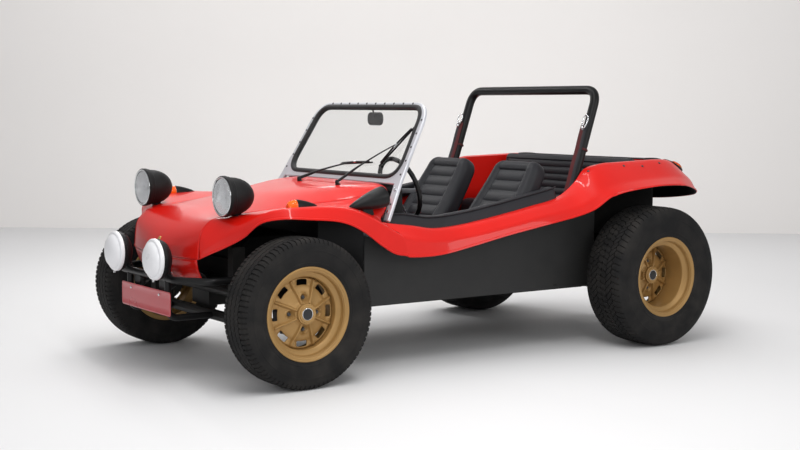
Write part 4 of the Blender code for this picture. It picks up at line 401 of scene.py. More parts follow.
bodySpec = {
    "halfWidth": 0.80, "halfLength": 1.60, "height": 0.96,   # what the station shares multiply
    "steps": 6, "wall": 0.0022,
    "seam": 0.0045, "ledgeWidth": 0.022, "ledgeDrop": 0.017,  # rebate that the bonnet's edge lies over
    "ridgeRound": 0.017, "edgeRound": 0.006,
    "beadRise": 0.012, "beadProud": 0.0034,                   # rolled bead along the fender's lip
    "cockpitFirst": 12, "tailFirst": 24, "padLast": 18,
    "floor": 0.3225, "shelf": 0.592, "shelfY": 0.72, "bulkheadY": 1.22,
    "bow": 2.2, "bowBack": 9.0, "squareFrom": -0.98,          # how flat the bonnet is across
    "noseEdge": (0.4235, -0.857, 0.567),
}
# One row for each station from nose to tail: seam or cockpit edge, crown, ridge and lip, each as
# thousandths of half width, half length and height.
stationShares = (
    (422, -855, 627, 424, -856, 609, 424, -856, 590, 425, -856, 569),
    (424, -850, 685, 452, -844, 660, 481, -841, 632, 487, -835, 597),
    (426, -836, 723, 494, -819, 711, 556, -811, 683, 562, -807, 631),
    (432, -812, 754, 537, -784, 758, 647, -780, 735, 652, -778, 677),
    (447, -772, 769, 587, -744, 783, 737, -750, 788, 752, -753, 746),
    (460, -731, 777, 631, -706, 799, 806, -706, 816, 830, -709, 767),
    (472, -675, 786, 662, -650, 811, 835, -644, 821, 869, -644, 763),
    (512, -562, 806, 688, -544, 819, 836, -537, 816, 875, -537, 746),
    (537, -500, 817, 700, -481, 813, 833, -456, 789, 866, -462, 700),
    (569, -437, 826, 710, -425, 792, 826, -394, 744, 856, -394, 627),
    (612, -375, 840, 716, -369, 755, 820, -341, 695, 845, -341, 579),
    (669, -307, 823, 718, -339, 726, 812, -300, 662, 835, -294, 563),
    (688, -338, 722, 732, -337, 721, 811, -287, 654, 834, -281, 556),
    (694, -237, 700, 747, -237, 696, 807, -219, 631, 828, -212, 552),
    (694, -156, 681, 752, -156, 678, 807, -150, 623, 825, -137, 561),
    (694, -50, 692, 752, -50, 688, 809, -44, 640, 826, -31, 592),
    (694, 75, 723, 754, 75, 717, 814, 81, 675, 833, 88, 631),
    (694, 225, 768, 757, 225, 759, 828, 231, 721, 850, 237, 675),
    (694, 350, 811, 762, 350, 803, 846, 353, 757, 876, 356, 713),
    (694, 419, 880, 771, 419, 856, 870, 416, 800, 902, 422, 749),
    (694, 462, 953, 762, 466, 934, 880, 459, 842, 938, 472, 811),
    (694, 519, 979, 752, 519, 975, 881, 519, 875, 965, 519, 840),
    (694, 606, 986, 750, 606, 985, 882, 606, 894, 988, 606, 861),
    (694, 700, 992, 750, 700, 991, 885, 700, 904, 990, 688, 870),
    (694, 787, 997, 747, 787, 995, 877, 787, 908, 971, 781, 866),
    (681, 850, 993, 727, 856, 984, 844, 862, 904, 921, 856, 846),
    (647, 900, 969, 694, 912, 938, 797, 919, 878, 850, 919, 818),
    (550, 934, 946, 587, 956, 904, 662, 966, 842, 712, 963, 789),
    (325, 947, 938, 338, 969, 894, 362, 983, 823, 387, 979, 759),
    (0, 950, 933, 0, 974, 890, 0, 988, 818, 0, 984, 752),
)
# The bonnet's centre line, its nose edge first, as y and z shares.
bonnetShares = milli(-882, 564, -879, 622, -868, 662, -849, 702, -815, 742, -762, 779, -719, 800,
                     -669, 820, -562, 852, -500, 867, -437, 881, -356, 896, -269, 904)

bodyScale = np.array((bodySpec["halfWidth"], bodySpec["halfLength"], bodySpec["height"]))
stations = np.reshape(stationShares, (-1, 4, 3)) / 1000 * bodyScale
mirrorX = np.array((-1.0, 1.0, 1.0))
fineStations = catmull(stations, bodySpec["steps"], stations[-2] * mirrorX)
cockpitRow = bodySpec["cockpitFirst"] * bodySpec["steps"]
tailRow = bodySpec["tailFirst"] * bodySpec["steps"]
seamRows = cockpitRow - bodySpec["steps"] + 1


def seamLedge(fine):
    # Inboard by the ledge's width and in by its drop, square to the seam's run in side view.
    along = np.gradient(fine[:seamRows, 0], axis=0)
    inwards = unit(np.stack((0 * along[:, 0], along[:, 2], -along[:, 1]), -1))
    return inwards * bodySpec["ledgeDrop"] - (bodySpec["ledgeWidth"], 0.0, 0.0)


def fenderStrip(fine):
    # Across each station: rebate, a curve over the crown, a rounded ridge, the lip and its bead.
    s = bodySpec
    seam, crown, ridge, lip = (fine[:, k] for k in range(4))
    ledge = np.zeros_like(seam)
    ledge[:seamRows] = seamLedge(fine)
    spread = np.linspace(0, 1, s["steps"])[: cockpitRow - seamRows, None]
    ledge[seamRows:cockpitRow] = ledge[seamRows - 1] * (1 - spread)
    top = catmull(np.stack((seam, crown, ridge)), 9)[:-2]
    slope, down = unit(ridge - top[-1]), unit(lip - ridge)
    length = np.linalg.norm(lip - ridge, axis=1, keepdims=True)
    gap = np.linalg.norm(ridge - crown, axis=1, keepdims=True)
    turn = np.minimum(np.minimum(s["ridgeRound"], length * 0.45), gap * 0.2)
    start, stop = ridge - slope * turn, ridge + down * turn
    arc = [start * (1 - t) ** 2 + ridge * 2 * t * (1 - t) + stop * t**2 for t in np.linspace(0, 1, 6)]
    out = unit(np.cross(down, np.gradient(ridge, axis=0)))
    out *= np.sign(np.sum(out * (ridge - seam), axis=1, keepdims=True) + 1e-9)
    rise = -down * np.minimum(s["beadRise"], length * 0.3)
    proud = out * s["beadProud"]
    bead = [lip + rise, lip + rise * 0.75 + proud, lip + rise * 0.15 + proud, lip]
    return np.stack([seam + ledge, seam + ledge * 0.12] + list(top) + arc + bead, 1)


def cockpitWall(fine):
    # Floor to edge beside the seats, with a small round at the top.
    edge = fine[cockpitRow : tailRow + 1, 0]
    floor = np.where(edge[:, 1:2] > bodySpec["shelfY"], bodySpec["shelf"], bodySpec["floor"])
    bottom = np.concatenate((edge[:, :2], floor), 1)
    drop = zWay * bodySpec["edgeRound"]
    return np.stack((bottom, (bottom + edge) / 2, edge - drop * 3, edge - drop, edge), 1)


def tailDeck(fine):
    # Up the bulkhead behind the bench, then back over the deck to the tail's edge.
    edge = fine[tailRow:, 0]
    foot = edge * xWay + (0.0, bodySpec["bulkheadY"], bodySpec["shelf"])
    head = foot * (1.0, 1.0, 0.0) + zWay * edge[0, 2]
    spans = [head + (edge - head) * t for t in np.linspace(0, 1, 7)]
    return np.stack([foot, (foot + head) / 2] + spans, 1)


def buildBody():
    # The three sheets, their mirror images, and a wall grown inwards.
    grids = [make(fineStations) for make in (fenderStrip, cockpitWall, tailDeck)]
    parts = [gridPart(side) for grid in grids for side in (grid, (grid * mirrorX)[:, ::-1])]
    body = addPiece("body", joinParts(parts), "bodyRed", closed=False, merge=1e-5)
    thicken(body, bodySpec["wall"], lining="shade")
    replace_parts(body, "body_tub")


def bonnetGrid(columns=61):
    # Across each row the surface falls from the centre line to the seam as a power of the width,
    # and the power grows from nose to back.
    s, steps = bodySpec, bodySpec["steps"]
    fine = fineStations[:seamRows, 0]
    centre = np.column_stack((np.zeros(len(bonnetShares)), bonnetShares)) * bodyScale
    centre = np.concatenate((catmull(centre[:2], steps)[:-1], catmull(centre[1:], steps)))
    nose = np.stack((np.array(s["noseEdge"]) * bodyScale, fine[0]))
    edge = np.concatenate((catmull(nose, steps)[:-1], fine)) - xWay * s["seam"]
    c = np.linspace(-1, 1, columns)[None, :, None]
    back = (edge[:, 1] - s["squareFrom"]) / (edge[-1, 1] - s["squareFrom"])
    power = s["bow"] + (s["bowBack"] - s["bow"]) * np.clip(back, 0, 1)[:, None, None] ** 1.5
    grid = centre[:, None] + (edge - centre)[:, None] * np.abs(c) ** power
    grid[..., 0] = edge[:, None, 0] * c[..., 0]
    return grid


screenSpec = {
    "footY": -0.413, "footZ": 0.881, "height": 0.408, "lean": math.radians(29.3), "footHalf": 0.543,
    "postDrop": 0.211, "postFootHalf": 0.586, "post": 0.044, "rail": 0.036, "thickness": 0.018,
    "glassCorner": 0.092, "seal": 0.0125, "openFoot": 0.016, "openTop": 0.396, "openTopHalf": 0.457,
    "studRadius": 0.0055, "studRise": 0.004, "outerCorner": 0.135, "topRise": 0.015,
    "ringTop": 0.496, "ringFoot": -0.022, "frameBevel": 0.004,
}


def screenPoint(x, v, out=0.0):
    # On the windscreen's plane, v up its slope and out in front of it.
    s, lean = screenSpec, screenSpec["lean"]
    x, v, out = np.broadcast_arrays(np.asarray(x, float), v, out)
    y = s["footY"] + v * math.sin(lean) - out * math.cos(lean)
    return np.stack((x, y, s["footZ"] + v * math.cos(lean) + out * math.sin(lean)), -1)


def buildBonnet():
    # The grid, its last rows drawn forward so that it ends along the windscreen's foot.
    grid, s, rows = bonnetGrid(), screenSpec, bodySpec["steps"]
    ahead = s["thickness"] / 2 / math.cos(s["lean"]) + 0.004
    limit = s["footY"] + (grid[-1, :, 2] - s["footZ"]) * math.tan(s["lean"]) - ahead
    start = grid[-rows - 1, :, 1]
    grid[-rows - 1 :, :, 1] = start + (limit - start) * (np.arange(rows + 1) / rows)[:, None]
    bonnet = addPiece("bonnet", gridPart(grid), "bodyRed", angle=50.0, closed=False)
    thicken(bonnet, bodySpec["wall"], lining="shade")
    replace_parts(bonnet, "bonnet")


def buildValance():
    # Lower nose panel: a bowed strip whose lower edge tucks back.
    rows = np.array((((0.0, -0.8815, 0.563), (0.0, -0.872, 0.5), (0.0, -0.846, 0.44)),
                     ((0.2, -0.877, 0.5635), (0.194, -0.868, 0.5), (0.185, -0.842, 0.441)),
                     ((0.405, -0.859, 0.5655), (0.39, -0.849, 0.51), (0.37, -0.826, 0.449)))) * bodyScale
    half = catmull(rows, 8)
    whole = catmull(np.concatenate((half[:0:-1] * mirrorX, half)).transpose(1, 0, 2), 5)[::-1]
    panel = addPiece("nosePanel", gridPart(whole), "bodyRed", closed=False)
    thicken(panel, bodySpec["wall"])
    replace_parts(panel, "nose_valance")


buildBody()
buildBonnet()
buildValance()
print("body built")


# Tyres: grooves follow the columns of the grid, the cross cuts its rows

tyreTable = {
    # outline from the middle of the tread out to the flange, as shares of half width and of height
    "front": {
        "pitches": 86, "rows": (0.0, 0.17, 0.34, 0.40, 0.60, 0.66, 0.83),
        "outline": milli(0, 1000, 400, 998, 740, 985, 870, 950, 955, 840, 995, 660, 1000, 480, 965, 260,
                         900, 100, 855, 0),
        "grooves": (0.017, 0.049), "grooveHalf": 0.0027, "depth": 0.0065, "zigzag": 0.0036,
        "slant": (0.0, 0.0, 0.0, 0.0), "cuts": {2: (0.34, 0.40, 0.60, 0.66)},
        "cutDepth": 0.0048, "cutFoot": 0.20, "shoulder": 0.070, "swing": 0,
    },
    "rear": {
        "pitches": 70, "rows": (0.0, 0.045, 0.075, 0.25, 0.425, 0.455, 0.545, 0.575, 0.75, 0.925, 0.955),
        "outline": milli(0, 1000, 400, 997, 700, 982, 840, 945, 940, 850, 990, 690, 1000, 500, 975, 280,
                         930, 100, 895, 0),
        "grooves": (0.0, 0.034, 0.069), "grooveHalf": 0.0034, "depth": 0.0085, "zigzag": 0.0052,
        "slant": (0.0, 0.010, -0.012, 0.0), "cuts": {
            1: (0.425, 0.455, 0.545, 0.575), 2: (0.925, 0.955, 1.045, 1.075),
            3: (0.425, 0.455, 0.545, 0.575)},
        "cutDepth": 0.0072, "cutFoot": 0.12, "shoulder": 0.096, "swing": 1,
    },
}
tyreSpec = {"flange": 0.214, "beadHalf": 0.0067, "seat": 0.1912, "wallSlope": 0.0005, "ringRise": 0.0009,
            "slantAt": (0.0, 0.034, 0.069, 0.12)}
# Raised rings of the side wall: share of its length, and rise
wallRings = milli(340, 0, 390, 0, 395, 1000, 420, 1000, 425, 0, 530, 0, 640, 0, 750, 0, 755, 1500,
                  785, 1500, 790, 0, 880, 0, 1000, 0)


def tyreOutline(table, half, radius, beadX):
    # Dense curve of (across, radius) from the tread's middle to the bead, with its outward normals.
    flange = tyreSpec["flange"]
    points = (0, flange) + table["outline"] * (half, radius - flange)
    curve = np.concatenate((catmull(points, 14), ((beadX, flange - 0.010), (beadX, tyreSpec["seat"]))))
    along = lengths(curve)
    tangent = unit(np.gradient(curve, along, axis=0))
    return curve, along, np.stack((-tangent[:, 1], tangent[:, 0]), -1)


def tyreColumns(table, curve, along):
    # For half a tyre: distance along the outline, groove share, block row, zigzag share, raised ring.
    widest = np.argmax(curve[:, 0])
    toTread = np.interp(table["grooves"] + (table["shoulder"],), curve[:widest, 0], along[:widest])
    half, slope, rows = table["grooveHalf"], tyreSpec["wallSlope"], len(table["grooves"])
    columns = []
    for k, place in enumerate(toTread[:-1]):
        if place > 0:
            columns += [(place - half, 0, k, 1, 0), (place - half + slope, 1, k, 1, 0)]
        columns += [(place + half - slope, 1, k + 1, 1, 0), (place + half, 0, k + 1, 1, 0)]
        last = k == rows - 1
        stop = toTread[k + 1] - (0 if last else half)
        inner = np.linspace(place + half, stop, 5 if last else 4)[1 : None if last else -1]
        columns += [(s, 0, k + 1, 0.0 if last and s == inner[-1] else 0.6, 0) for s in inner]
    if table["grooves"][0] > 0:
        columns = [(s, 0, 0, 1, 0) for s in (toTread[0] * 0.33, toTread[0] * 0.66)] + columns
    wall = along[-1] - toTread[-1]
    foot = toTread[-1] + wall * table["cutFoot"]
    columns += [(s, 0, rows, 0, 0) for s in np.linspace(toTread[-1], foot, 7)[1:]]
    columns.append((foot + 0.0012, 0, -1, 0, 0))
    columns += [(toTread[-1] + wall * share, 0, -1, 0, rise) for share, rise in wallRings]
    return np.array(sorted(columns))


def treadedTyre(end, low, high):
    # Every point lies on the outline, pressed in by the groove's or the cut's depth, whichever is more.
    table, centre = tyreTable[end], (low + high) / 2
    half, radius = (high[0] - low[0]) / 2, centre[2]
    bead = rimTable[end]["width"] / 2 - tyreSpec["beadHalf"]
    curve, along, normals = tyreOutline(table, half, radius, bead)
    columns = tyreColumns(table, curve, along)
    columns = np.concatenate((columns[::-1] * (-1, 1, 1, 1, 1), columns))
    phase = (np.arange(table["pitches"])[:, None] + table["rows"]).reshape(-1)
    share = phase % 1.0
    sway = 1 - 4 * np.abs(share - 0.5)
    side, place = np.where(columns[:, 0] < 0, -1.0, 1.0), np.abs(columns[:, 0])
    grooveOf = np.round(np.interp(place, np.interp(table["grooves"], curve[:60, 0], along[:60]),
                                  np.arange(len(table["grooves"]))))
    swing = side * np.where(grooveOf % 2 == 1, -1, 1) if table["swing"] else 1.0
    shifted = columns[None, :, 0] + table["zigzag"] * sway[:, None] * (swing * columns[:, 3])[None]
    sign, s = np.where(shifted < 0, -1.0, 1.0), np.abs(shifted)
    press = table["depth"] * np.repeat(columns[None, :, 1], len(phase), 0)
    fade = np.interp(place, (along[-1] * 0.30, along[-1] * 0.62), (1.0, 0.45))
    for row, cut in table["cuts"].items():
        inside = np.interp((share - cut[0]) % 1.0 + cut[0], cut, (0.0, 1.0, 1.0, 0.0))
        cutHere = ((columns[:, 2] == row) * fade)[None]
        press = np.maximum(press, table["cutDepth"] * inside[:, None] * cutHere)
    press = press - tyreSpec["ringRise"] * columns[None, :, 4]
    across = (np.interp(s, along, curve[:, 0]) - np.interp(s, along, normals[:, 0]) * press) * sign
    height = np.interp(s, along, curve[:, 1]) - np.interp(s, along, normals[:, 1]) * press
    slant = np.interp(place, tyreSpec["slantAt"], table["slant"]) * side
    angle = phase[:, None] * 2 * math.pi / table["pitches"] + (slant / radius)[None]
    points = centre + np.stack((across, height * np.cos(angle), height * np.sin(angle)), -1)
    return gridPart(points, True, True)


# Wheels: a turned barrel, a disc pressed into ribs, windows and nut cups, and a stepped boss

rimTable = {
    "front": {"width": 0.166, "dish": 0.072},
    "rear": {"width": 0.236, "dish": 0.160},
}
rimSpec = {
    "flange": 0.208, "bead": 0.1905, "well": 0.165, "wall": 0.005, "beadLength": 0.030,
    "spokes": 8, "ribHalf": 0.007, "ribRise": 0.014, "bossRise": 0.060,
    "windowInner": 0.1238, "windowOuter": 0.15, "windowHalf": 0.0262, "windowRound": 0.0035,
    "nutRadius": 0.070, "cup": 0.019, "cupFace": 0.027, "cupDepth": 0.0125, "sheet": 0.004,
}


def barrelProfile(width, dish):
    # The stepped lip, over the outside of the barrel, and back along the inside.
    s = rimSpec
    flange, bead, well, run = s["flange"], s["bead"], s["well"], s["beadLength"]
    low, high, ramp = well - s["wall"], bead - s["wall"], run + 0.0128
    lip = (0, high) + milli(22, 0, 13.5, 0, 12.5, 2.2, 8.5, 3, 6, 6, 5.2, 10, 3.4, 11.5, 1, 14, 0, 18,
                            0.8, 21.2)
    return np.concatenate((
        ((dish + 0.006, low), (ramp + 0.004, low), (ramp, low + 0.001), (ramp - 0.003, low + 0.004),
         (run + 0.002, high - 0.004), (run - 0.003, high - 0.001)), lip,
        ((0.0028, flange + 0.0004), (0.005, flange), (0.006, flange - 0.002), (0.006, bead), (run, bead),
         (ramp, well), (width / 2, well), (width - ramp, well), (width - run, bead), (width - 0.006, bead),
         (width - 0.006, flange), (width - 0.002, flange), (width, flange - 0.003), (width, high),
         (width - run, high), (width - ramp, low), (dish + 0.012, low))))


def discGrid(dish):
    # Polar grid whose columns keep to the edges of rib and window. Its height is the sum of rib, cup
    # and cone.
    s = rimSpec
    radii = np.array((0.0485, 0.050, 0.0525, 0.0555, 0.0585, 0.0615, 0.0645, 0.0675, 0.0705, 0.0735, 0.0765,
                      0.080, 0.084, 0.088, 0.0925, 0.098, 0.105, 0.112, 0.118, 0.122, s["windowInner"], 0.130,
                      0.1375, 0.145, s["windowOuter"], 0.153, 0.157, 0.1607))
    profile = lambda places, values: np.interp(radii, places, values)[:, None]
    half, r = math.pi / s["spokes"], radii[:, None]
    rib = profile((0.0485, 0.075, 0.16), (1.15, 1.0, 0.82)) * s["ribHalf"] / r
    room = half - rib * 1.35
    window = np.minimum(s["windowHalf"] / r, room * 0.86)
    steps = [-window - (room - window) * t for t in (1.0, 0.5)]
    steps += [window * t for t in (-1.0, -0.82, -0.55, -0.28, 0.0, 0.28, 0.55, 0.82, 1.0)]
    steps += [window + (room - window) * t for t in (0.5, 1.0)]
    steps += [half - rib * t for t in (1.0, 0.72, 0.36, 0.0, -0.36, -0.72, -1.0)]
    steps = np.concatenate(steps, 1)
    height = profile((0.0485, 0.060, 0.085, 0.115, 0.124, 0.15, 0.155, 0.1607),
                     (0.039, 0.031, 0.024, 0.0155, 0.010, 0.0085, 0.006, 0.0))
    hollow = np.clip(1 - (np.minimum(np.abs(steps), 1.0) / np.maximum(room, 1e-6)) ** 2, 0, 1)
    height = height - 0.003 * hollow * profile((0.0485, 0.08, 0.128, 0.155), (0.0, 1.0, 1.0, 0.0))
    offRib = np.abs(steps - half) * r / s["ribHalf"]
    ribShape = np.interp(offRib, (0.0, 0.36, 0.72, 1.0, 1.12), (1.0, 0.94, 0.62, 0.12, 0.0))
    height = height + s["ribRise"] * ribShape * profile((0.0485, 0.06, 0.13, 0.154, 0.1607),
                                                        (0.6, 1.0, 1.0, 0.75, 0.0))
    away = np.hypot(r * np.cos(steps) - s["nutRadius"], r * np.sin(steps)) / s["cup"]
    cup = np.interp(away, (0.0, 0.45, 0.52, 0.86, 0.93, 1.02, 1.20),
                    (1.0, 1.0, 0.92, 0.25, -0.12, -0.12, 0.0))
    flat = np.interp(away, (0.0, 0.85, 1.3), (1.0, 1.0, 0.0))
    cupped = s["cupFace"] + (height - s["cupFace"]) * (1 - flat) - s["cupDepth"] * cup
    sheets = []
    for k in range(s["spokes"]):
        turn = steps + k * 2 * half
        level = height if k % 2 else cupped
        sheets.append(np.stack((dish - level, r * np.cos(turn), r * np.sin(turn)), -1))
    return np.concatenate(sheets, 1), radii


def buildRim(end, side, sign, lip, centre):
    # The disc less its windows, whose corners are drawn in, then barrel, boss, cap and nuts.
    s, table, tail = rimSpec, rimTable[end], "_%s_%s" % (end, side)
    body, axis = "wheel" + tail, (-sign, 0.0, 0.0)
    place = np.array((lip, centre[1], centre[2]))
    shape, radii = discGrid(table["dish"])
    cols = shape.shape[1]
    first, last = (int(np.argmin(np.abs(radii - s[key]))) for key in ("windowInner", "windowOuter"))
    sector, grid = cols // s["spokes"], shape.copy()
    for row, toward in ((first, 1), (last, -1)):
        for edge, inwards in ((2, 1), (10, -1)):
            cells = np.arange(s["spokes"]) * sector + edge
            shape[row, cells, 1:] *= 1 + toward * s["windowRound"] / radii[row] * 0.55
            shape[row, cells] += (grid[row, cells + inwards] - shape[row, cells]) * 0.35
    points, quads = gridPart(place + shape * (-sign, 1.0, 1.0), False, True)
    ring, column = quads[:, 0] // cols, quads[:, 0] % cols % sector
    hole = (ring >= first) & (ring < last) & (column >= 2) & (column < 10)
    disc = addPiece("wheelDisc" + tail, (points, quads[~hole]), "bronze", body, closed=False)
    if sign > 0:
        disc.data.flip_normals()
    thicken(disc, s["sheet"])
    cap = (table["dish"] - s["bossRise"], 0.0)
    boss = cap + milli(30, 0, 30, 52.5, 24, 52.2, 21.5, 51, 18, 46.6, 8, 46, 5, 44.8, 4.2, 42.5, 4.2, 39.5,
                       3, 38.5, 0.6, 37.8, 0, 36, 0, 30, 1.2, 29, 1.2, 0)
    barrel = joinParts((lathe(barrelProfile(**table), 96, place, axis, True),
                        lathe(boss, 64, place, axis)))
    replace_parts(addPiece("wheelBarrel" + tail, barrel, "bronze", body, angle=32.0), "rim" + tail)
    capRing = cap + milli(2.2, 27.2, 0.6, 27, -0.2, 26.2, 0, 24.8, 1.2, 24)
    addPiece("capRing" + tail, lathe(capRing, 64, place, axis, True), "chrome", body)
    badge = cap + milli(2, 0, 2, 24.3, 0.6, 24.3, 0.1, 20, -0.4, 0)
    addPiece("capCentre" + tail, lathe(badge, 48, place, axis), "dialFace", body, angle=30.0)
    foot = (table["dish"] - s["cupFace"] + s["cupDepth"], 0.0)
    nuts = []
    for k in range(0, s["spokes"], 2):
        turn = 2 * math.pi * k / s["spokes"]
        at = place + np.array((0.0, math.cos(turn), math.sin(turn))) * s["nutRadius"]
        # The first profile is a wide dark washer under each nut: painted shade that darkens the cup as a deeper
        # cup would
        for around, profile in ((24, milli(1, 0, 1, 11.5, -0.8, 11.2, -1, 0)),
                                (6, milli(1, 0, 1, 8.8, -5.5, 8.4, -7, 6, -7, 0)),
                                (12, milli(-5, 0, -5, 4.5, -10.5, 4.5, -11, 0))):
            nuts.append(lathe(foot + profile, around, at, axis))
    addPiece("wheelNuts" + tail, joinParts(nuts), "steelDark", body, angle=30.0)


def nodeBox(name):
    # Low and high corner of a node of the solids.
    return (np.array(corner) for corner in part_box(name))


def buildWheels():
    # Each tyre fills its node's box, and each rim starts from the outer face of its own.
    for end in ("front", "rear"):
        for side, sign in sides:
            tail = "_%s_%s" % (end, side)
            tyre = addPiece("tread" + tail, treadedTyre(end, *nodeBox("tyre" + tail)), "tyreRubber",
                            "wheel" + tail, angle=38.0)
            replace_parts(tyre, "tyre" + tail)
            low, high = nodeBox("rim" + tail)
            buildRim(end, side, sign, high[0] if sign > 0 else low[0], (low + high) / 2)


buildWheels()
print("wheels built")


# Lamps and road equipment

lampSpec = {
    "headY": -1.288, "headZ": 0.828, "headX": 0.411, "stalkY": 0.075, "headScale": 0.94,
    "spotScale": 1.075, "spotX": 0.21, "spotY": -1.552, "spotZ": 0.544, "bumperY": -1.455, "bumperZ": 0.452,
}


def buildHeadlight(side, sign):
    # A turned hollow bucket with a bowl, a domed lens and a trim ring in it, on a clamped stalk.
    s = lampSpec
    centre, narrow = np.array((sign * s["headX"], s["headY"], s["headZ"])), (1, s["headScale"])
    bucket = lathe(narrow * milli(
        144, 0, 140, 20, 127, 44, 110, 62, 90, 74.5, 64, 83.5, 40, 86.6, 6, 87.5, 1, 86.8, -4, 87.5,
        -6.5, 88.5, -8, 91.5, -7, 95.5, -3, 97.8, 10, 98, 12.5, 97, 13, 95, 16.5, 94, 24, 94, 25.5, 92.5,
        25.8, 90, 42, 90, 60, 88, 80, 83, 100, 74.5, 118, 62, 132, 46, 143, 27, 149, 9, 150, 0),
        64, centre, yWay)
    low, _ = nodeBox("headlight_" + side)
    foot = np.array((centre[0], centre[1] + s["stalkY"], low[2] - 0.004))
    top = centre[2] - 0.070 - foot[2]
    stalk = np.concatenate((milli(0, 0, 0, 25, 10, 25, 13, 23.5, 15, 18, 19, 14.2),
                            ((top * 0.45, 0.0135), (top * 0.46, 0.0185), (top * 0.66, 0.0185),
                             (top * 0.67, 0.0135), (top, 0.020), (top, 0.0))))
    clampAt = foot + zWay * top * 0.56
    bolt = sweep([clampAt + (x, -0.017, 0) for x in (-0.026, 0.026)], 0.0042, 8)
    lamp = addPiece("lampBucket_" + side, joinParts((bucket, lathe(stalk, 28, foot, zWay), bolt)),
                    "bucketBlack", angle=36.0)
    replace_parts(lamp, "headlight_" + side)
    # Bowl and shield take a near-white diffuse finish, a painted reflection standing in for chrome
    bowl = lathe(narrow * milli(
        -0.5, 86.6, 10, 82.5, 24, 70, 40, 52, 52, 30, 56, 14, 56.3, 0, 59, 0, 58.5, 15, 54.5, 31.5, 42, 54,
        26, 72, 12, 84, 1.5, 86.8), 64, centre, yWay)
    shield = lathe(milli(26, 0, 26, 11, 30, 12, 46, 6, 55, 5, 55, 0), 24, centre, yWay)
    addPiece("reflector_" + side, joinParts((bowl, shield)), "paintedBrightReflector", angle=30.0)
    lens = milli(-3.5, 86.8, -8.5, 80, -12.5, 62, -16, 40, -17.5, 18, -17.8, 0, -15, 0, -14.7, 18,
                 -13.2, 40, -9.8, 62, -5.8, 79, -1, 86.2)
    addPiece("lampLens_" + side, lathe(narrow * lens, 64, centre, yWay), "lensGlass")
    trim = milli(-7.2, 86.8, -8.8, 88, -9.2, 90.2, -8, 92.2, -6, 92.5, -5, 88)
    addPiece("lampTrim_" + side, lathe(narrow * trim, 72, centre, yWay, True), "chrome", angle=50.0)


def buildSpotLamp(side, sign):
    # A turned bucket under a domed blank cover, on a bent post with a washer.
    s = lampSpec
    centre, widen = np.array((sign * s["spotX"], s["spotY"], s["spotZ"])), (1, s["spotScale"])
    cover = lathe(widen * milli(
        -15, 0, -13.6, 24, -10, 44, -3, 60, 6, 70, 11.2, 73.5, 14, 75.5, 14.2, 78, 14.5, 81, 18, 84.5,
        21.5, 86.5, 32, 86.8, 33.5, 85.5, 33.5, 0), 72, centre, yWay)
    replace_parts(addPiece("spotCover_" + side, cover, "lampWhite"), "spot_lamp_" + side)
    tab = rounded(milli(-8, -11, 8, -11, 8, 6, -8, 6), 0.003, 3, True)
    tab = prism(tab, 0.005, centre + (0, 0.020, -0.090), xWay, zWay, 0.001)
    addPiece("spotTab_" + side, tab, "lensGlass")
    post = rounded((centre + (0, 0.060, -0.030), (centre[0], s["bumperY"], centre[2] - 0.036),
                    (centre[0], s["bumperY"], s["bumperZ"] + 0.010)), 0.012)
    bucket = lathe(widen * milli(
        32.5, 0, 32.5, 84.5, 48, 85, 50, 81.5, 62, 79, 76, 70, 87, 54, 94, 30, 96, 0), 56, centre, yWay)
    washer = lathe(milli(0, 0, 0, 18.5, 4, 18.5, 4.5, 13, 13, 13, 14, 10, 14, 0), 18,
                   (centre[0], s["bumperY"], s["bumperZ"] + 0.0155), zWay)
    shape = joinParts((bucket, sweep(post, 0.010, 16, xWay), washer))
    addPiece("spotBucket_" + side, shape, "bucketBlack", angle=36.0)


bumperSpec = {
    "corners": ((-0.405, -1.2455), (-0.405, -1.3504), (-0.2754, -1.455)), "bend": 0.060, "tube": 0.017,
    "downX": 0.200, "downZ": 0.272, "downRest": -1.241, "downBend": 0.050, "downTube": 0.0155,
    "horn": (0.135, -1.43, 0.418),
}


def buildBumper():
    # A bent tube across, two tubes down and back from it, and two turned horns.
    s, y, z = bumperSpec, lampSpec["bumperY"], lampSpec["bumperZ"]
    half = np.array([(*corner, z) for corner in s["corners"]])
    top = rounded(np.concatenate((half, (half * mirrorX)[::-1])), s["bend"], 8)
    parts = [sweep(top, s["tube"], 24)]
    for _, sign in sides:
        x = sign * s["downX"]
        down = rounded(((x, y, z), (x, y, s["downZ"]), (x, s["downRest"], s["downZ"])), s["downBend"], 8)
        parts.append(sweep(down, s["downTube"], 20, xWay))
        parts.append(lathe(milli(-22, 0, -22, 34, -12, 40, 0, 41, 10, 34, 30, 20, 45, 12, 45, 0), 32,
                           np.array(s["horn"]) * (sign, 1, 1), yWay))
    bumper = addPiece("bumperTubes", joinParts(parts), "satinBlack")
    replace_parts(bumper, "front_bumper")


plateSpec = {"corner": 0.014, "bow": 0.0025, "border": 0.0009, "sheet": 0.0015, "proud": 0.0016,
             "screwX": 0.150, "screwZ": 0.034}


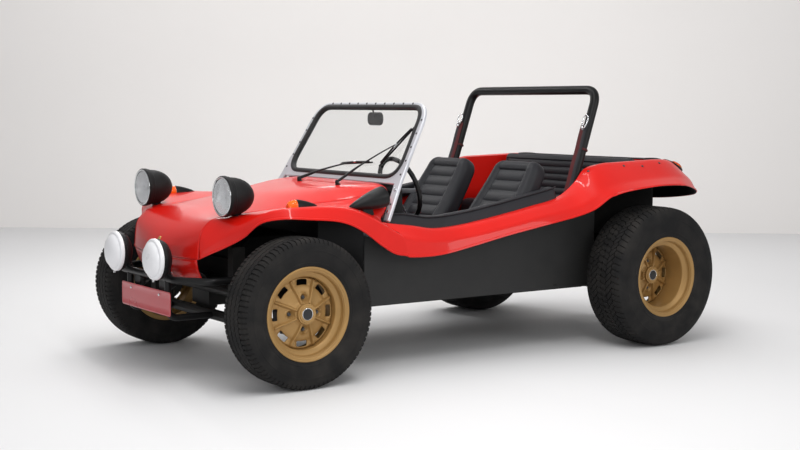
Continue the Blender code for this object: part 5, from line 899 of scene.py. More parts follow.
def buildPlate():
    # A bowed sheet with rounded corners, a raised border and two screws.
    s, corner = plateSpec, plateSpec["corner"]
    low, high = nodeBox("number_plate")
    centre, half = (low + high) / 2, (high - low) / 2
    u = np.concatenate((np.linspace(-1, -0.955, 7), np.linspace(-0.95, 0.95, 29),
                        np.linspace(0.955, 1, 7)))
    v = np.array((-1.0, -0.93, -0.91, -0.85, -0.83, -0.4, 0.0, 0.4, 0.83, 0.85, 0.91, 0.93, 1.0))
    over = np.maximum(np.abs(u) * half[0] - (half[0] - corner), 0)
    tall = half[2] - corner + np.sqrt(np.maximum(corner**2 - over**2, 0))
    x, z = np.broadcast_arrays(u[:, None] * half[0], v[None] * tall[:, None])
    edge = np.maximum(np.abs(u)[:, None] ** 8, np.abs(v)[None])
    raised = np.interp(edge, (0.83, 0.86, 0.905, 0.93), (0.0, s["border"], s["border"], 0.0))
    y = -raised - s["bow"] * (1 - (x / half[0]) ** 2)
    grid = centre + np.stack((x, y - half[1] + s["proud"], z), -1)
    plate = addPiece("numberPlate", gridPart(grid), "plateRed", angle=30.0, closed=False)
    thicken(plate, s["sheet"], 1.0)
    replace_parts(plate, "number_plate")
    places = [centre + (sign * s["screwX"], -half[1] - s["bow"], s["screwZ"]) for _, sign in sides]
    screws = [lathe(milli(0.5, 0, 0.5, 6, -2.2, 5, -3, 0), 16, place, yWay) for place in places]
    addPiece("plateScrews", joinParts(screws), "chrome", angle=30.0)


indicatorSpec = {"x": 0.600, "y": -1.075, "below": 0.034, "narrow": 0.72}


def buildIndicator(side, sign):
    # Turned lens, tail and back, all narrowed across; the back's bright orange is a painted glow.
    s = indicatorSpec
    _, high = nodeBox("indicator_" + side)
    start = np.array((sign * s["x"], s["y"], high[2] - s["below"]))
    for name, finish, around, profile in (
            ("indicatorLens_", "amberLens", 48, milli(
                0, 0, 1.5, 12, 5, 20, 11, 26.2, 15, 28.5, 17, 27.5, 21.5, 30.5, 23.5, 29.5, 28, 32.2,
                30, 31, 34.5, 33.5, 36.5, 32.2, 41, 34, 48, 34, 48, 0)),
            ("indicatorTail_", "satinBlack", 48, milli(
                46.5, 0, 46.5, 34.3, 50, 34.8, 56, 34.5, 75, 31.5, 99, 26.2, 120, 20, 140, 13.5,
                155, 6, 160, 0)),
            ("indicatorBack_", "paintedOrangeGlow", 32, milli(4, 0, 4, 18, 18, 25.5, 46, 30, 46, 0))):
        points, quads = lathe(profile, around, start, yWay)
        points[:, 0] = start[0] + (points[:, 0] - start[0]) * s["narrow"]
        piece = addPiece(name + side, (points, quads), finish)
        if name == "indicatorTail_":
            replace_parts(piece, "indicator_" + side)


tailLampSpec = {"lean": -26.0, "radius": 0.040, "wide": 0.80, "tall": 1.60, "sink": 0.012,
                "lensBack": 0.024}


def buildTailLamp(side):
    # Base, lens and bulb: unit circles turned, stretched to ovals and laid back on the tail; the bulb's bright
    # orange is a painted glow.
    s = tailLampSpec
    low, high = nodeBox("tail_lamp_" + side)
    slope = np.array(Matrix.Rotation(math.radians(s["lean"]), 3, "X"))
    for name, scale, shift, finish, profile in (
            ("tailBase_", 1.18, 0.0, "satinBlack", milli(-12, 0, -12, 1000, 7, 1000, 9, 960, 9, 0)),
            ("tailLens_", 0.72, s["lensBack"], "amberLens", milli(
                4, 0, 4, 1000, 16, 980, 22, 900, 27, 700, 30, 400, 31, 0)),
            ("tailBulb_", 0.45, s["lensBack"], "paintedOrangeGlow", milli(
                3, 0, 3, 1000, 12, 900, 20, 400, 21, 0))):
        points, quads = lathe(profile * (1, s["radius"]), 48, (0, 0, 0), zWay)
        points = points * (s["wide"] * scale, s["tall"] * scale, 1.0)
        points = (points + (0, shift, 0)) @ slope.T + (low + high) / 2 - zWay * s["sink"]
        piece = addPiece(name + side, (points, quads), finish)
        if name == "tailBase_":
            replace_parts(piece, "tail_lamp_" + side)


doorMirrorSpec = {"start": (0.560, -0.722, 0.766), "aim": (0.0, 1.0, 0.25), "foot": (0.560, -0.625, 0.785),
                  "footWidth": 0.026}


def buildDoorMirror():
    # A turned cone with its glass and a bright strip, on a flat foot.
    s = doorMirrorSpec
    start, axis, place = np.array(s["start"]), unit(np.array(s["aim"])), s["foot"]
    shell = milli(0, 0, 2, 6, 10, 11, 30, 18.5, 60, 26.5, 90, 34, 120, 41, 150, 46, 172, 49, 186, 50,
                  196, 50, 200, 48.5, 200, 45.5, 193, 44, 193, 0)
    drop = next(nodeBox("door_mirror"))[2] - place[2]
    outline = rounded(((-0.032, drop - 0.004), (0.038, drop + 0.004), (0.022, 0.0), (-0.018, -0.006)),
                      0.008, 4, True)
    foot = prism(outline, s["footWidth"], place, yWay, zWay, 0.004)
    shape = joinParts((lathe(shell, 48, start, axis), foot))
    item = addPiece("doorMirrorShell", shape, "satinBlack", angle=36.0)
    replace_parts(item, "door_mirror")
    glass = lathe(milli(192.5, 0, 192.5, 43.5, 194.5, 43.5, 194.8, 0), 48, start, axis)
    strip = sweep([start + (0.014, -0.020, -0.002), start + (0.026, 0.004, -0.008),
                   start + (0.034, 0.036, -0.014)], 0.0048, 10)
    addPiece("doorMirrorGlass", joinParts((glass, strip)), "chrome")


def buildBodyDetails():
    # Press studs on the rear fenders' ridges, square to the strip, and a catch on the bonnet's nose.
    strip = fenderStrip(fineStations)
    studs = []
    for row, column in ((120, 8), (132, 13), (137, 14), (143, 13)):
        out = unit(np.cross(strip[row + 1, column] - strip[row - 1, column],
                            strip[row, column + 1] - strip[row, column - 1]))
        out = out * (1.0 if out[2] > 0 else -1.0)
        studs += [lathe(milli(-1, 0, -1, 7, 2.2, 6.6, 4.5, 4, 4.8, 0), 16, strip[row, column] * (sign, 1, 1),
                        out * (sign, 1, 1)) for _, sign in sides]
    addPiece("coverStuds", joinParts(studs), "steelDark", angle=35.0)
    nose = np.array((0.0, -1.3925, 0.614))
    catch = lathe(milli(2, 0, 2, 13, -3, 13.5, -6, 10, -12.5, 8.5, -15, 5, -15.2, 0), 28, nose,
                  (0, 1, 0.35))
    a = np.linspace(0, 2 * math.pi, 20)[:-1]
    loop = np.stack((0.009 * np.cos(a), 0 * a - 0.011, 0.009 * np.sin(a) - 0.010), -1)
    addPiece("bonnetCatch", joinParts((catch, sweep(nose + loop, 0.0022, 8, yWay, True))), "brass")


tankSpec = {"low": (-1.140, 0.405), "high": (-0.800, 0.640), "width": 0.54, "slope": 0.05,
            "corner": 0.045, "bevel": 0.020}


def buildTank():
    # Fuel tank under the bonnet: a flat pressing with rounded corners, a flange and a filler neck.
    s = tankSpec
    (lowY, lowZ), (highY, highZ) = s["low"], s["high"]
    outline = rounded(((lowY, lowZ), (highY, lowZ), (highY, highZ), (lowY + s["slope"], highZ),
                       (lowY, highZ - s["slope"])), s["corner"], 5, True)
    tank = prism(outline, s["width"], (0, 0, 0), yWay, zWay, s["bevel"])
    neck = lathe(milli(0, 0, 0, 34, 12, 34, 14, 28, 40, 28, 44, 36, 56, 36, 60, 30, 60, 0), 32,
                 (0.0, (lowY + highY) / 2, highZ - 0.004), zWay)
    rim = rounded(((lowY - 0.010, -0.004), (highY + 0.010, -0.004), (highY + 0.010, 0.004),
                   (lowY - 0.010, 0.004)), 0.003, 3, True)
    flange = prism(rim, s["width"] + 0.024, (0, 0, (lowZ + highZ) / 2), yWay, zWay, 0.002)
    addPiece("fuelTank", joinParts((tank, neck, flange)), "shade")


buildTank()
buildBodyDetails()
for side, sign in sides:
    buildHeadlight(side, sign)
    buildSpotLamp(side, sign)
    buildIndicator(side, sign)
    buildTailLamp(side)
buildBumper()
buildPlate()
buildDoorMirror()
print("lamps and bumper built")


# Seats: a cross-section with side bolsters, carried up the padding's middle line

seatSpec = {
    "x": 0.290, "width": 0.400, "thickness": 0.105, "bolster": 0.018, "centreHalf": 0.66, "channels": 6,
    "channelDepth": 0.0085, "cushionChannels": 5, "cushionThickness": 0.130, "sag": 0.012, "fill": 0.7,
}
benchSpec = {
    "half": 0.518, "backChannels": 7, "backThickness": 0.078, "cushionChannels": 5, "cushionThickness": 0.105,
    "section": dict(seatSpec, centreHalf=0.97, bolster=0.0, square=0.30, ends=0.030), "fill": 0.7,
}
sidePadSpec = {
    "halfWidth": 0.029, "halfHeight": 0.0375, "lean": 0.45, "square": 0.62, "inboard": 0.026, "rise": 0.019,
    "tucks": 6, "tuck": 0.05, "fill": 0.8,
}


def power(values, exponent):
    # A power that keeps the sign.
    return np.sign(values) * np.abs(values) ** exponent


def arcEnd(share):
    # A quarter circle: 0 at 0, upright there, and 1 from 1 on.
    return np.sqrt(np.clip(1 - (1 - np.clip(share, 0, 1)) ** 2, 0, 1))


def paddedRun(line, width, thickness, channels, spec, first, last):
    # Section: a superellipse across the run, its front raised at the sides and the top and pressed in
    # along each channel and seam, all of it rounded off towards the run's ends.
    path, normals = line
    square, ends = spec.get("square", 0.42), spec.get("ends", 0.060)
    along = lengths(path)
    rounding = arcEnd(np.minimum(along, along[-1] - along) / ends)
    count = 88
    a = (np.arange(count) + 0.5) * 2 * math.pi / count
    across, depth = power(np.cos(a), square), power(np.sin(a), square)
    half = np.broadcast_to(np.asarray(width, float), along.shape) / 2
    reach = (half - ends * 0.55 * (1 - rounding))[:, None] * across
    share, middle = np.abs(across)[None], spec["centreHalf"]
    side = np.interp(share, (middle - 0.05, middle + 0.10, 0.90, 1.0), (0.0, 1.0, 0.85, 0.0))
    v = along / along[-1]
    top = np.interp(v, (last - 0.01, last + 0.05, 0.97, 1.0), (0.0, 0.55, 0.5, 0.2))[:, None]
    raised = spec["bolster"] * np.maximum(side, top)
    wave = np.abs(np.sin(np.interp(v, (first, last), (0.0, 1.0)) * channels * math.pi))
    within = (v >= first - 1e-9) & (v <= last + 1e-9)
    pressed = (spec["channelDepth"] * (1 - wave**0.55) * within)[:, None]
    pressed = pressed * np.interp(share, (middle - 0.10, middle - 0.02), (1.0, 0.0))
    seam = 0.006 * np.exp(-((share - middle + 0.03) / 0.022) ** 2) * (v[:, None] < last)
    lift = depth[None] * thickness / 2 * (0.35 + 0.65 * rounding)[:, None]
    lift = lift + np.clip(depth, 0, 1)[None] ** 0.6 * (raised * rounding[:, None] - pressed - seam)
    points = path[:, None] + reach[..., None] * xWay + lift[..., None] * normals[:, None]
    caps = [ring.mean(0, keepdims=True).repeat(count, 0)[None] for ring in (points[0], points[-1])]
    return gridPart(np.concatenate((caps[0], points, caps[1])), False, True)


def runBetween(start, end, x, count, sag=0.0, face=1.0):
    # A middle line in the side plane that sags as a parabola, and the way its front faces.
    t = np.linspace(0, 1, count)[:, None]
    start, end = np.array(start, float), np.array(end, float)
    direction = unit(end - start)
    normal = np.array((-direction[1], direction[0])) * face
    line = start + (end - start) * t - normal * sag * (4 * t * (1 - t))
    return np.column_stack((np.full(count, x), line)), np.tile((0.0, *normal), (count, 1))


def buildSeat(side, sign):
    # A back that narrows upwards, a cushion and a plinth under it.
    s, x = seatSpec, sign * seatSpec["x"]
    taper = s["width"] * np.interp(np.linspace(0, 1, 130), (0, 0.45, 1), (1.0, 0.985, 0.80))
    backLine = runBetween((0.250, 0.500), (0.562, 0.936), x, 130, s["sag"])
    back = paddedRun(backLine, taper, s["thickness"], s["channels"], s, 0.16, 0.88)
    cushionLine = runBetween((0.300, 0.468), (-0.180, 0.520), x, 110, s["sag"], -1.0)
    cushion = paddedRun(cushionLine, s["width"], s["cushionThickness"], s["cushionChannels"], s, 0.20, 0.86)
    outline = rounded(milli(-160, 324, -165, 470, 280, 440, 300, 324), 0.02, 4, True)
    plinth = prism(outline, s["width"] * 0.94, (x, 0, 0), yWay, zWay, 0.012)
    seat = addPiece("seat_" + side + "_padding", joinParts((back, cushion, plinth)), "vinyl", angle=50.0)
    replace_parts(seat, "seat_" + side)


def buildBench():
    # The same section as the seats across the whole width, squarer and without side bolsters.
    s = benchSpec
    back = paddedRun(runBetween((1.080, 0.640), (1.152, 0.962), 0.0, 130), 2 * s["half"], s["backThickness"],
                     s["backChannels"], s["section"], 0.06, 0.90)
    cushion = paddedRun(runBetween((1.130, 0.652), (0.772, 0.660), 0.0, 90, 0.0, -1.0), 2 * s["half"],
                        s["cushionThickness"], s["cushionChannels"], s["section"], 0.10, 0.90)
    bench = addPiece("benchPadding", joinParts((back, cushion)), "vinyl", angle=50.0)
    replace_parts(bench, "rear_bench")


def buildSidePad(side, sign):
    # Along the sill a flattened oval that leans inboard as it rises and swells between its tucks.
    s = sidePadSpec
    path = resample(fineStations[cockpitRow : bodySpec["padLast"] * bodySpec["steps"] + 1, 0], 150)
    along = np.linspace(0, 1, len(path))
    swell = 1 - s["tuck"] * np.abs(np.cos(along * math.pi * s["tucks"])) ** 14
    swell = swell * arcEnd(np.minimum(along, 1 - along) / 0.02)
    a = np.arange(32) * 2 * math.pi / 32
    wide = power(np.cos(a), s["square"]) * s["halfWidth"]
    tall = power(np.sin(a), s["square"]) * s["halfHeight"]
    section = np.stack((wide - tall * s["lean"], 0 * a, tall), -1)
    points = (path + (-s["inboard"], 0.0, s["rise"]))[:, None] + section * swell[:, None, None]
    shape = gridPart(points * (sign, 1.0, 1.0), False, True)
    pad = addPiece("sidePadding_" + side, shape, "vinyl", angle=60.0)
    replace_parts(pad, "side_pad_" + side)
    outboard = s["halfWidth"] * 0.86 - s["halfHeight"] * s["lean"] * 0.7 - s["inboard"]
    seam = path + (outboard, 0.0, s["rise"] + s["halfHeight"] * 0.86)
    addPiece("sidePadWelt_" + side, sweep(seam * (sign, 1.0, 1.0), 0.0032, 8), "vinyl", angle=60.0)


deckSpec = {"first": 0.03, "last": 0.93, "width": 0.94, "lift": 0.007, "swell": 0.013, "stitch": 0.006,
            "stitchHalf": 0.012, "wall": 0.012, "fill": 0.5}


def buildDeckCover():
    # A padded sheet on the tail deck, fullest in the middle and pressed in by a stitched line.
    s, rows = deckSpec, resample(fineStations[tailRow:, 0], 61)
    t = np.linspace(s["first"], s["last"], 33)
    head = rows * xWay + (0.0, bodySpec["bulkheadY"], rows[0, 2])
    grid = head[:, None] + (rows - head)[:, None] * t[None, :, None]
    grid[..., 0] *= s["width"]
    full = np.sin(np.linspace(0, 1, len(t)) * math.pi) ** 0.35
    width = np.clip(1 - (grid[..., 0] / (rows[0, 0] * s["width"])) ** 10, 0, 1) ** 0.5
    stitch = s["stitch"] * np.exp(-((grid[..., 0] / s["stitchHalf"]) ** 2))
    grid[..., 2] += s["lift"] + s["swell"] * full[None] * width - stitch
    whole = np.concatenate((grid, (grid * mirrorX)[::-1][1:]))
    cover = addPiece("deckPadding", gridPart(whole), "vinyl", angle=50.0, closed=False)
    thicken(cover, s["wall"])
    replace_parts(cover, "rear_deck")


for side, sign in sides:
    buildSeat(side, sign)
    buildSidePad(side, sign)
buildBench()
buildDeckCover()
print("padding built")


# Roll bar with its belts and clips

rollSpec = {"radius": 0.024, "bend": 0.085, "sleeve": 0.048,
            "foot": np.array((0.524, 0.545, 0.323)), "top": np.array((0.520, 0.865, 1.329))}


def buildRollBar():
    # One tube over both legs, rising straight out of two turned feet.
    s = rollSpec
    leg = np.stack((s["foot"], s["foot"] + zWay * s["sleeve"], s["top"]))
    path = rounded(np.concatenate((leg, (leg * mirrorX)[::-1])), s["bend"], 10)
    feet = [lathe(milli(0, 0, 0, 45, 5, 45, 6, 30, 10, 26.5, 10, 0), 32, s["foot"] * (sign, 1, 1), zWay)
            for _, sign in sides]
    bar = addPiece("rollHoop", joinParts([sweep(path, s["radius"], 28, (0, 1, 0.3))] + feet), "satinBlack")
    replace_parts(bar, "roll_bar")


beltSpec = {
    "first": 0.34, "last": 0.80, "gap": 0.003, "ripple": 0.0022,      # shares of the leg, then metres
    "bands": ((0.30, 40), (0.675, 10)),                               # share of the leg, millimetres wide
    "clipAt": 0.815, "clipOut": 0.036, "clipAside": 0.006, "clipWire": 0.0036, "eyeWire": 0.0028,
}


def buildBelts(side, sign):
    # Two webs down each leg of the bar, bands round it, and an oval clip with its eye near the top.
    s, b = rollSpec, beltSpec
    foot = (s["foot"] + zWay * s["sleeve"]) * (sign, 1, 1)
    leg = s["top"] * (sign, 1, 1) - foot
    out = unit(np.cross((sign, 0, 0), unit(leg)))
    out = out if out[1] < 0 else -out
    t = np.linspace(b["first"], b["last"], 26)[:, None]
    path = foot + leg * t + out * (s["radius"] + b["gap"] + b["ripple"] * np.sin(t * 19) ** 2)
    for name, shift, width, finish in (("beltWebbing_", -0.010, 0.030, "beltRed"),
                                       ("beltStrap_", 0.014, 0.026, "vinyl")):
        web = sweep(path + xWay * sign * shift, width / 2, 12, out, flat=0.11)
        addPiece(name + side, web, finish)
    wraps = []
    for share, width in b["bands"]:
        h = width / 2
        band = milli(-h, 24.2, -h, 29, 3 - h, 30, h - 3, 30, h, 29, h, 24.2)
        wraps.append(lathe(band, 32, foot + leg * share, leg, True))
    addPiece("beltWrap_" + side, joinParts(wraps), "beltRed")
    at = foot + leg * b["clipAt"] + out * b["clipOut"] + xWay * sign * b["clipAside"]
    a = np.linspace(0, 2 * math.pi, 40, endpoint=False)[:, None]
    up = unit(leg)
    oval = at + up * np.sin(a) * 0.036 + xWay * np.cos(a) * (0.018 + 0.005 * np.sin(a))
    eye = at - up * 0.034 + up * np.sin(a) * 0.012 + out * np.cos(a) * 0.012
    clip = (sweep(oval, b["clipWire"], 10, out, True), sweep(eye, b["eyeWire"], 8, xWay, True))
    addPiece("beltClip_" + side, joinParts(clip), "chrome")


buildRollBar()
for side, sign in sides:
    buildBelts(side, sign)
print("roll bar built")


# Windscreen: ring and posts, pane, rubber seal, snap studs, wipers and the mirror

wiperTable = (
    # side, pivot x, blade middle across and up the screen, blade tilt in degrees
    ("left", 0.270, 0.392, 0.178, 57.0),
    ("right", -0.080, 0.115, 0.075, 4.0),
)
wiperSpec = {"pivotY": -0.595, "clear": 0.010, "bladeHalf": 0.133, "bow": 0.007, "rubber": 0.0046,
             "spine": 0.0052}
screenNormal = screenPoint(0, 0, 1) - screenPoint(0, 0, 0)


def openingOutline(inset=0.0):
    # The windscreen's opening as a rounded outline across and up the screen's plane.
    s = screenSpec
    low, top = s["footHalf"] - s["post"] - inset, s["openTopHalf"] - inset
    foot, head = s["openFoot"] + inset, s["openTop"] - inset
    corners = ((low, foot), (top, head), (-top, head), (-low, foot))
    return resample(rounded(corners, s["glassCorner"], 10, True), 240, True)


def buildScreenFrame():
    # A flat ring between a rounded outer and a rounded inner outline, its rims bevelled, two posts
    # below it, and the pane in it.
    s = screenSpec
    half, bevel = s["thickness"] / 2, s["frameBevel"]
    top, foot, rings = s["height"] + s["topRise"], s["ringFoot"], []
    for inset, out in ((0.0, half - bevel), (bevel, half), (None, half), (None, -half), (bevel, -half),
                       (0.0, bevel - half)):
        outline = openingOutline()
        if inset is not None:
            low, high = s["footHalf"] - inset, s["ringTop"] - inset
            corners = ((low, foot + inset), (high, top - inset), (-high, top - inset), (-low, foot + inset))
            outline = resample(rounded(corners, s["outerCorner"], 10), 240, True)
        rings.append(screenPoint(*outline.T, out))
    parts = [gridPart(np.stack(rings), True, True)]
    origin, up = screenPoint(0, 0), screenPoint(0, 1) - screenPoint(0, 0)
    lean = (s["footHalf"] - s["ringTop"]) / top
    for _, sign in sides:
        post = ((s["footHalf"] - lean * 0.10, 0.1), (s["footHalf"] - lean * 0.10 - s["post"], 0.1),
                (s["footHalf"] - s["post"], 0.0), (s["postFootHalf"] - s["post"] * 0.85, -s["postDrop"]),
                (s["postFootHalf"], -s["postDrop"]), (s["footHalf"], 0.0))
        parts.append(prism(rounded(np.array(post) * (sign, 1), 0.008, 4, True), s["thickness"] * 0.98, origin,
                           xWay, up, 0.003))
    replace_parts(addPiece("screenFrame", joinParts(parts), "silver", angle=35.0), "windscreen_frame")
    pane = prism(openingOutline(-0.004), 0.005, origin, xWay, up, 0.0006)
    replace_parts(addPiece("screenPane", pane, "paneGlass", angle=30.0), "windscreen_glass")


def buildScreenTrim():
    # Flattened rubber round both faces of the opening, studs round the ring and bolts on the posts.
    s = screenSpec
    front, seals = s["thickness"] / 2, []
    for inset, out, radius, around, flat in (
            (-0.0015, front, s["seal"], 10, 0.5), (-0.0015, -front, s["seal"], 10, 0.5),
            (0.006, 0.004, 0.004, 8, 0.8)):
        outline = openingOutline(inset)
        seals.append(sweep(screenPoint(*outline.T, out), radius, around, screenNormal, True, flat))
    addPiece("screenSeal", joinParts(seals), "rubberSeal", angle=50.0)
    lean = (s["footHalf"] - s["ringTop"]) / (s["height"] + s["topRise"])
    onPost = lambda sign, share, inset: (
        sign * (s["footHalf"] + (s["postFootHalf"] - s["footHalf"]) * share - inset), -s["postDrop"] * share)
    places = [(x, s["height"] + 0.007) for x in np.linspace(-0.36, 0.36, 10)]
    places += [(sign * 0.428, s["height"] - 0.012) for _, sign in sides]
    bolts = []
    for _, sign in sides:
        places += [(sign * (s["footHalf"] - lean * v - 0.017), v) for v in np.linspace(0.030, 0.325, 5)]
        places += [onPost(sign, share, 0.018) for share in (0.25, 0.60)]
        bolts += [onPost(sign, v / s["postDrop"], 0.020) for v in (0.050, 0.165)]
    radius, rise = s["studRadius"], s["studRise"]
    stud = ((0.0, 0.0), (0.0, radius), (0.0015, radius), (rise, radius * 0.5), (rise, 0.0))
    bolt = milli(0, 0, 0, 8.5, 4.5, 8, 5.5, 4.5, 5.5, 0)
    for name, profile, around, spots, finish, angle in (
            ("screenStuds", stud, 12, places, "steelDark", 40.0),
            ("screenBolts", bolt, 6, bolts, "chrome", 30.0)):
        turned = [lathe(profile, around, screenPoint(x, v, front - 0.0005), screenNormal) for x, v in spots]
        addPiece(name, joinParts(turned), finish, angle=angle)


def bonnetTop(x, y):
    # Height of the bonnet's skin at one place in plan, from the nearest point of its grid.
    grid = bonnetGrid().reshape(-1, 3)
    return float(grid[np.argmin((grid[:, 0] - x) ** 2 + (grid[:, 1] - y) ** 2), 2])


def buildWiper(side, pivotX, tipX, tipV, tilt):
    # Turned cap, an arm that thins along a smooth curve, a blade and its bowed spine, and a clip.
    s = wiperSpec
    clear, pivotY, half = s["clear"], s["pivotY"], s["bladeHalf"]
    onBlade = lambda d, out: screenPoint(tipX + math.cos(math.radians(tilt)) * d,
                                         tipV + math.sin(math.radians(tilt)) * d, out)
    foot = np.array((pivotX, pivotY, bonnetTop(pivotX, pivotY) - 0.003))
    cap = lathe(milli(0, 0, 0, 15, 4.5, 14.5, 6, 11, 18, 10, 23, 8.5, 26, 4.5, 26.5, 0), 24, foot,
                (0, -0.25, 1))
    tip = screenPoint(tipX, tipV, clear + 0.014)
    bends = [foot + (tip - foot) * share + zWay * rise
             for share, rise in ((0, 0.019), (0.17, 0.019), (0.34, 0.020), (0.70, 0.012), (1, 0))]
    width = np.interp(np.linspace(0, 1, 26), (0, 0.25, 0.45, 1.0), (0.010, 0.0092, 0.006, 0.0042))
    arm = sweep(resample(catmull(bends, 6), 26), width, 12, screenNormal, flat=0.55)
    edge = resample([onBlade(d, clear - 0.001) for d in (-half, half)], 6)
    bow = [onBlade(d, clear + 0.004 + s["bow"] * (1 - (d / half) ** 2))
           for d in np.linspace(-half * 0.86, half * 0.86, 9)]
    parts = (cap, arm, sweep(edge, s["rubber"], 8, screenNormal),
             sweep(resample(bow, 22), s["spine"], 8, screenNormal, flat=0.9))
    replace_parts(addPiece("wiperArm_" + side, joinParts(parts), "satinBlack"), "wiper_" + side)
    ends = [onBlade(d, clear + 0.0125) for d in (-0.013, 0.013)]
    clip = sweep(ends, s["spine"], 10, screenNormal, flat=0.7)
    addPiece("wiperClip_" + side, clip, "chrome")


mirrorSpec = {"hang": (-0.030, 0.045, -0.048), "half": (0.065, 0.034), "corner": 0.030, "depth": 0.016,
              "bevel": 0.005, "stem": 0.0042}


def buildMirror():
    # A rounded flat shell on a bent stem from the top rail, with its pane.
    s, m = screenSpec, mirrorSpec
    v, back = s["height"] - s["rail"] / 2, -s["thickness"] / 2 - 0.0003
    root = screenPoint(0, v, back)
    centre = root + m["hang"]
    outline = resample(boxOutline(*m["half"], m["corner"], 6), 64, True)
    shell = prism(outline, m["depth"], centre, xWay, zWay, m["bevel"])
    stem = sweep(rounded((root, root - screenNormal * 0.010, centre), 0.006), m["stem"], 12, xWay)
    item = addPiece("mirrorShell", joinParts((shell, stem)), "satinBlack", angle=36.0)
    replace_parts(item, "interior_mirror")
    pane = prism(outline * 0.90, 0.0012, centre + yWay * 0.0084, xWay, zWay, 0.0004)
    addPiece("mirrorPane", pane, "mirrorGrey", angle=30.0)


buildScreenFrame()
buildScreenTrim()
for row in wiperTable:
    buildWiper(*row)
buildMirror()
print("windscreen trimmed")


# Steering wheel, gear lever and gauges

steeringSpec = {"centre": (0.300, -0.250, 0.828), "tilt": math.radians(18.0), "radius": 0.155,
                "rim": 0.0118, "hub": 0.026}


def buildSteering():
    # A ring with finger grips as a cosine of its radius, a turned hub, and three flat spokes.
    s, centre = steeringSpec, np.array(steeringSpec["centre"])
    axis = np.array((0.0, math.cos(s["tilt"]), math.sin(s["tilt"])))
    up = np.cross(axis, xWay)
    a = np.linspace(0, 2 * math.pi, 96, endpoint=False)
    ring = centre + xWay * (np.cos(a) * s["radius"])[:, None] + up * (np.sin(a) * s["radius"])[:, None]
    dish = centre - axis * s["hub"]
    hub = lathe(milli(-13, 0, -13, 24, 4, 26, 10, 30, 14, 30, 19, 26, 21, 18, 21, 0), 40, dish, axis)
    grip = sweep(ring, s["rim"] * (1 + 0.035 * np.cos(a * 24)), 14, axis, True)
    rim = addPiece("steeringRim", joinParts((grip, hub)), "satinBlack", "steering_wheel")
    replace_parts(rim, "steering_wheel")
    spokes = []
    for angle in (0.0, math.pi / 2, math.pi):
        ray = xWay * math.cos(angle) + up * math.sin(angle)
        run = catmull((dish + axis * 0.004 + ray * 0.020, dish + axis * 0.008 + ray * 0.060,
                       centre - axis * 0.004 + ray * 0.120, centre + ray * (s["radius"] - 0.003)), 5)
        spokes.append(sweep(resample(run, 14), np.linspace(0.0135, 0.010, 14), 16, axis, flat=0.22))
    addPiece("steeringSpokes", joinParts(spokes), "silver", "steering_wheel")


leverSpec = {"y": -0.200, "bends": ((0, 0, 0), (0, 0.010, 0.080), (0, 0.040, 0.180), (0, 0.065, 0.260)),
             "stick": 0.006, "boot": 0.028, "bootRise": 0.044, "fold": 0.0028}


def buildLever():
    # A bent stick, a turned knob, and a boot whose radius falls in sine folds.
    s = leverSpec
    base = np.array((0.0, s["y"], next(nodeBox("gear_lever"))[2]))
    bends = base + s["bends"]
    stick, crown = sweep(catmull(bends, 5), s["stick"], 14, xWay), bends[-1]
    folds = [(h, s["boot"] - h * 0.30 + s["fold"] * math.sin(h * 700))
             for h in np.linspace(0.0, s["bootRise"], 30)]
    boot = lathe([(0, 0.0)] + folds + [(0.046, 0.010), (0.046, 0.0)], 28, base, zWay)
    knob = lathe(milli(-8, 0, -8, 7, 0, 10, 8, 15.5, 18, 17.8, 26, 16.5, 33, 10.5, 35.5, 0), 32,
                 crown - zWay * 0.006, (0, 0.2, 1))
    lever = addPiece("leverAndBoot", joinParts((stick, boot, knob)), "satinBlack", angle=50.0)
    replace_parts(lever, "gear_lever")


gaugeTable = milli(300, 800, 170, 790, 95, 790, 430, 790)   # x and z of each dial
gaugeSpec = {"radii": (0.052, 0.028, 0.028, 0.028), "needleTurn": 2.2, "needleOut": 0.0036}


def buildGauges():
    # Round dials on the dashboard's face, each a bezel, a dark face and a needle.
    s, angle = gaugeSpec, gaugeSpec["needleTurn"]
    _, high = nodeBox("dashboard")
    bezels, faces, needles = [], [], []
    ray = np.array((math.cos(angle), 0, math.sin(angle)))
    for (x, z), r in zip(gaugeTable, s["radii"]):
        at = np.array((x, high[1], z))
        bezel = milli(-4, 980 * r, 6, 1000 * r, 8, 960 * r, 7, 900 * r, 1, 860 * r)
        bezels.append(lathe(bezel, 40, at, yWay, True))
        faces.append(lathe(milli(-3, 0, -3, 900 * r, 2, 900 * r, 2.2, 0), 40, at, yWay))
        ends = [at + yWay * s["needleOut"] + ray * r * reach for reach in (-0.15, 0.70)]
        needles.append(sweep(ends, (0.0016, 0.0005), 6, yWay))
    addPiece("gaugeBezels", joinParts(bezels), "chrome")
    addPiece("gaugeFaces", joinParts(faces), "dialFace", angle=30.0)
    addPiece("gaugeNeedles", joinParts(needles), "copper", angle=30.0)


buildSteering()
buildLever()
buildGauges()
print("controls built")


# Engine: case, finned cylinders, heads with their covers, fan shroud, generator and belt

engineSpec = {
    "crankRise": 0.095, "halfLength": 0.150, "caseHalf": 0.140, "row": 0.075, "fins": 10, "finFrom": 0.147,
    "finPitch": 0.0122, "finHalf": 0.060, "barrel": 0.046, "headAt": 0.284, "coverAt": 0.310,
    "shroudRise": 0.095, "shroudAt": 0.075, "shroudDepth": 0.110, "fanRise": 0.1485, "beltAt": 0.312,
    "bigPulley": 0.082, "smallPulley": 0.040, "beltDepth": 0.006,
}


def pulley(radius, centre):
    # Two rims with the belt's groove between them.
    r = radius * 1000
    return lathe(milli(-11, 0, -11, r, -8, r, -2, r - 12, 2, r - 12, 8, r, 11, r, 11, r - 8, 7, r - 12,
                       7, 16, 13, 14, 13, 0), 48, centre, yWay)


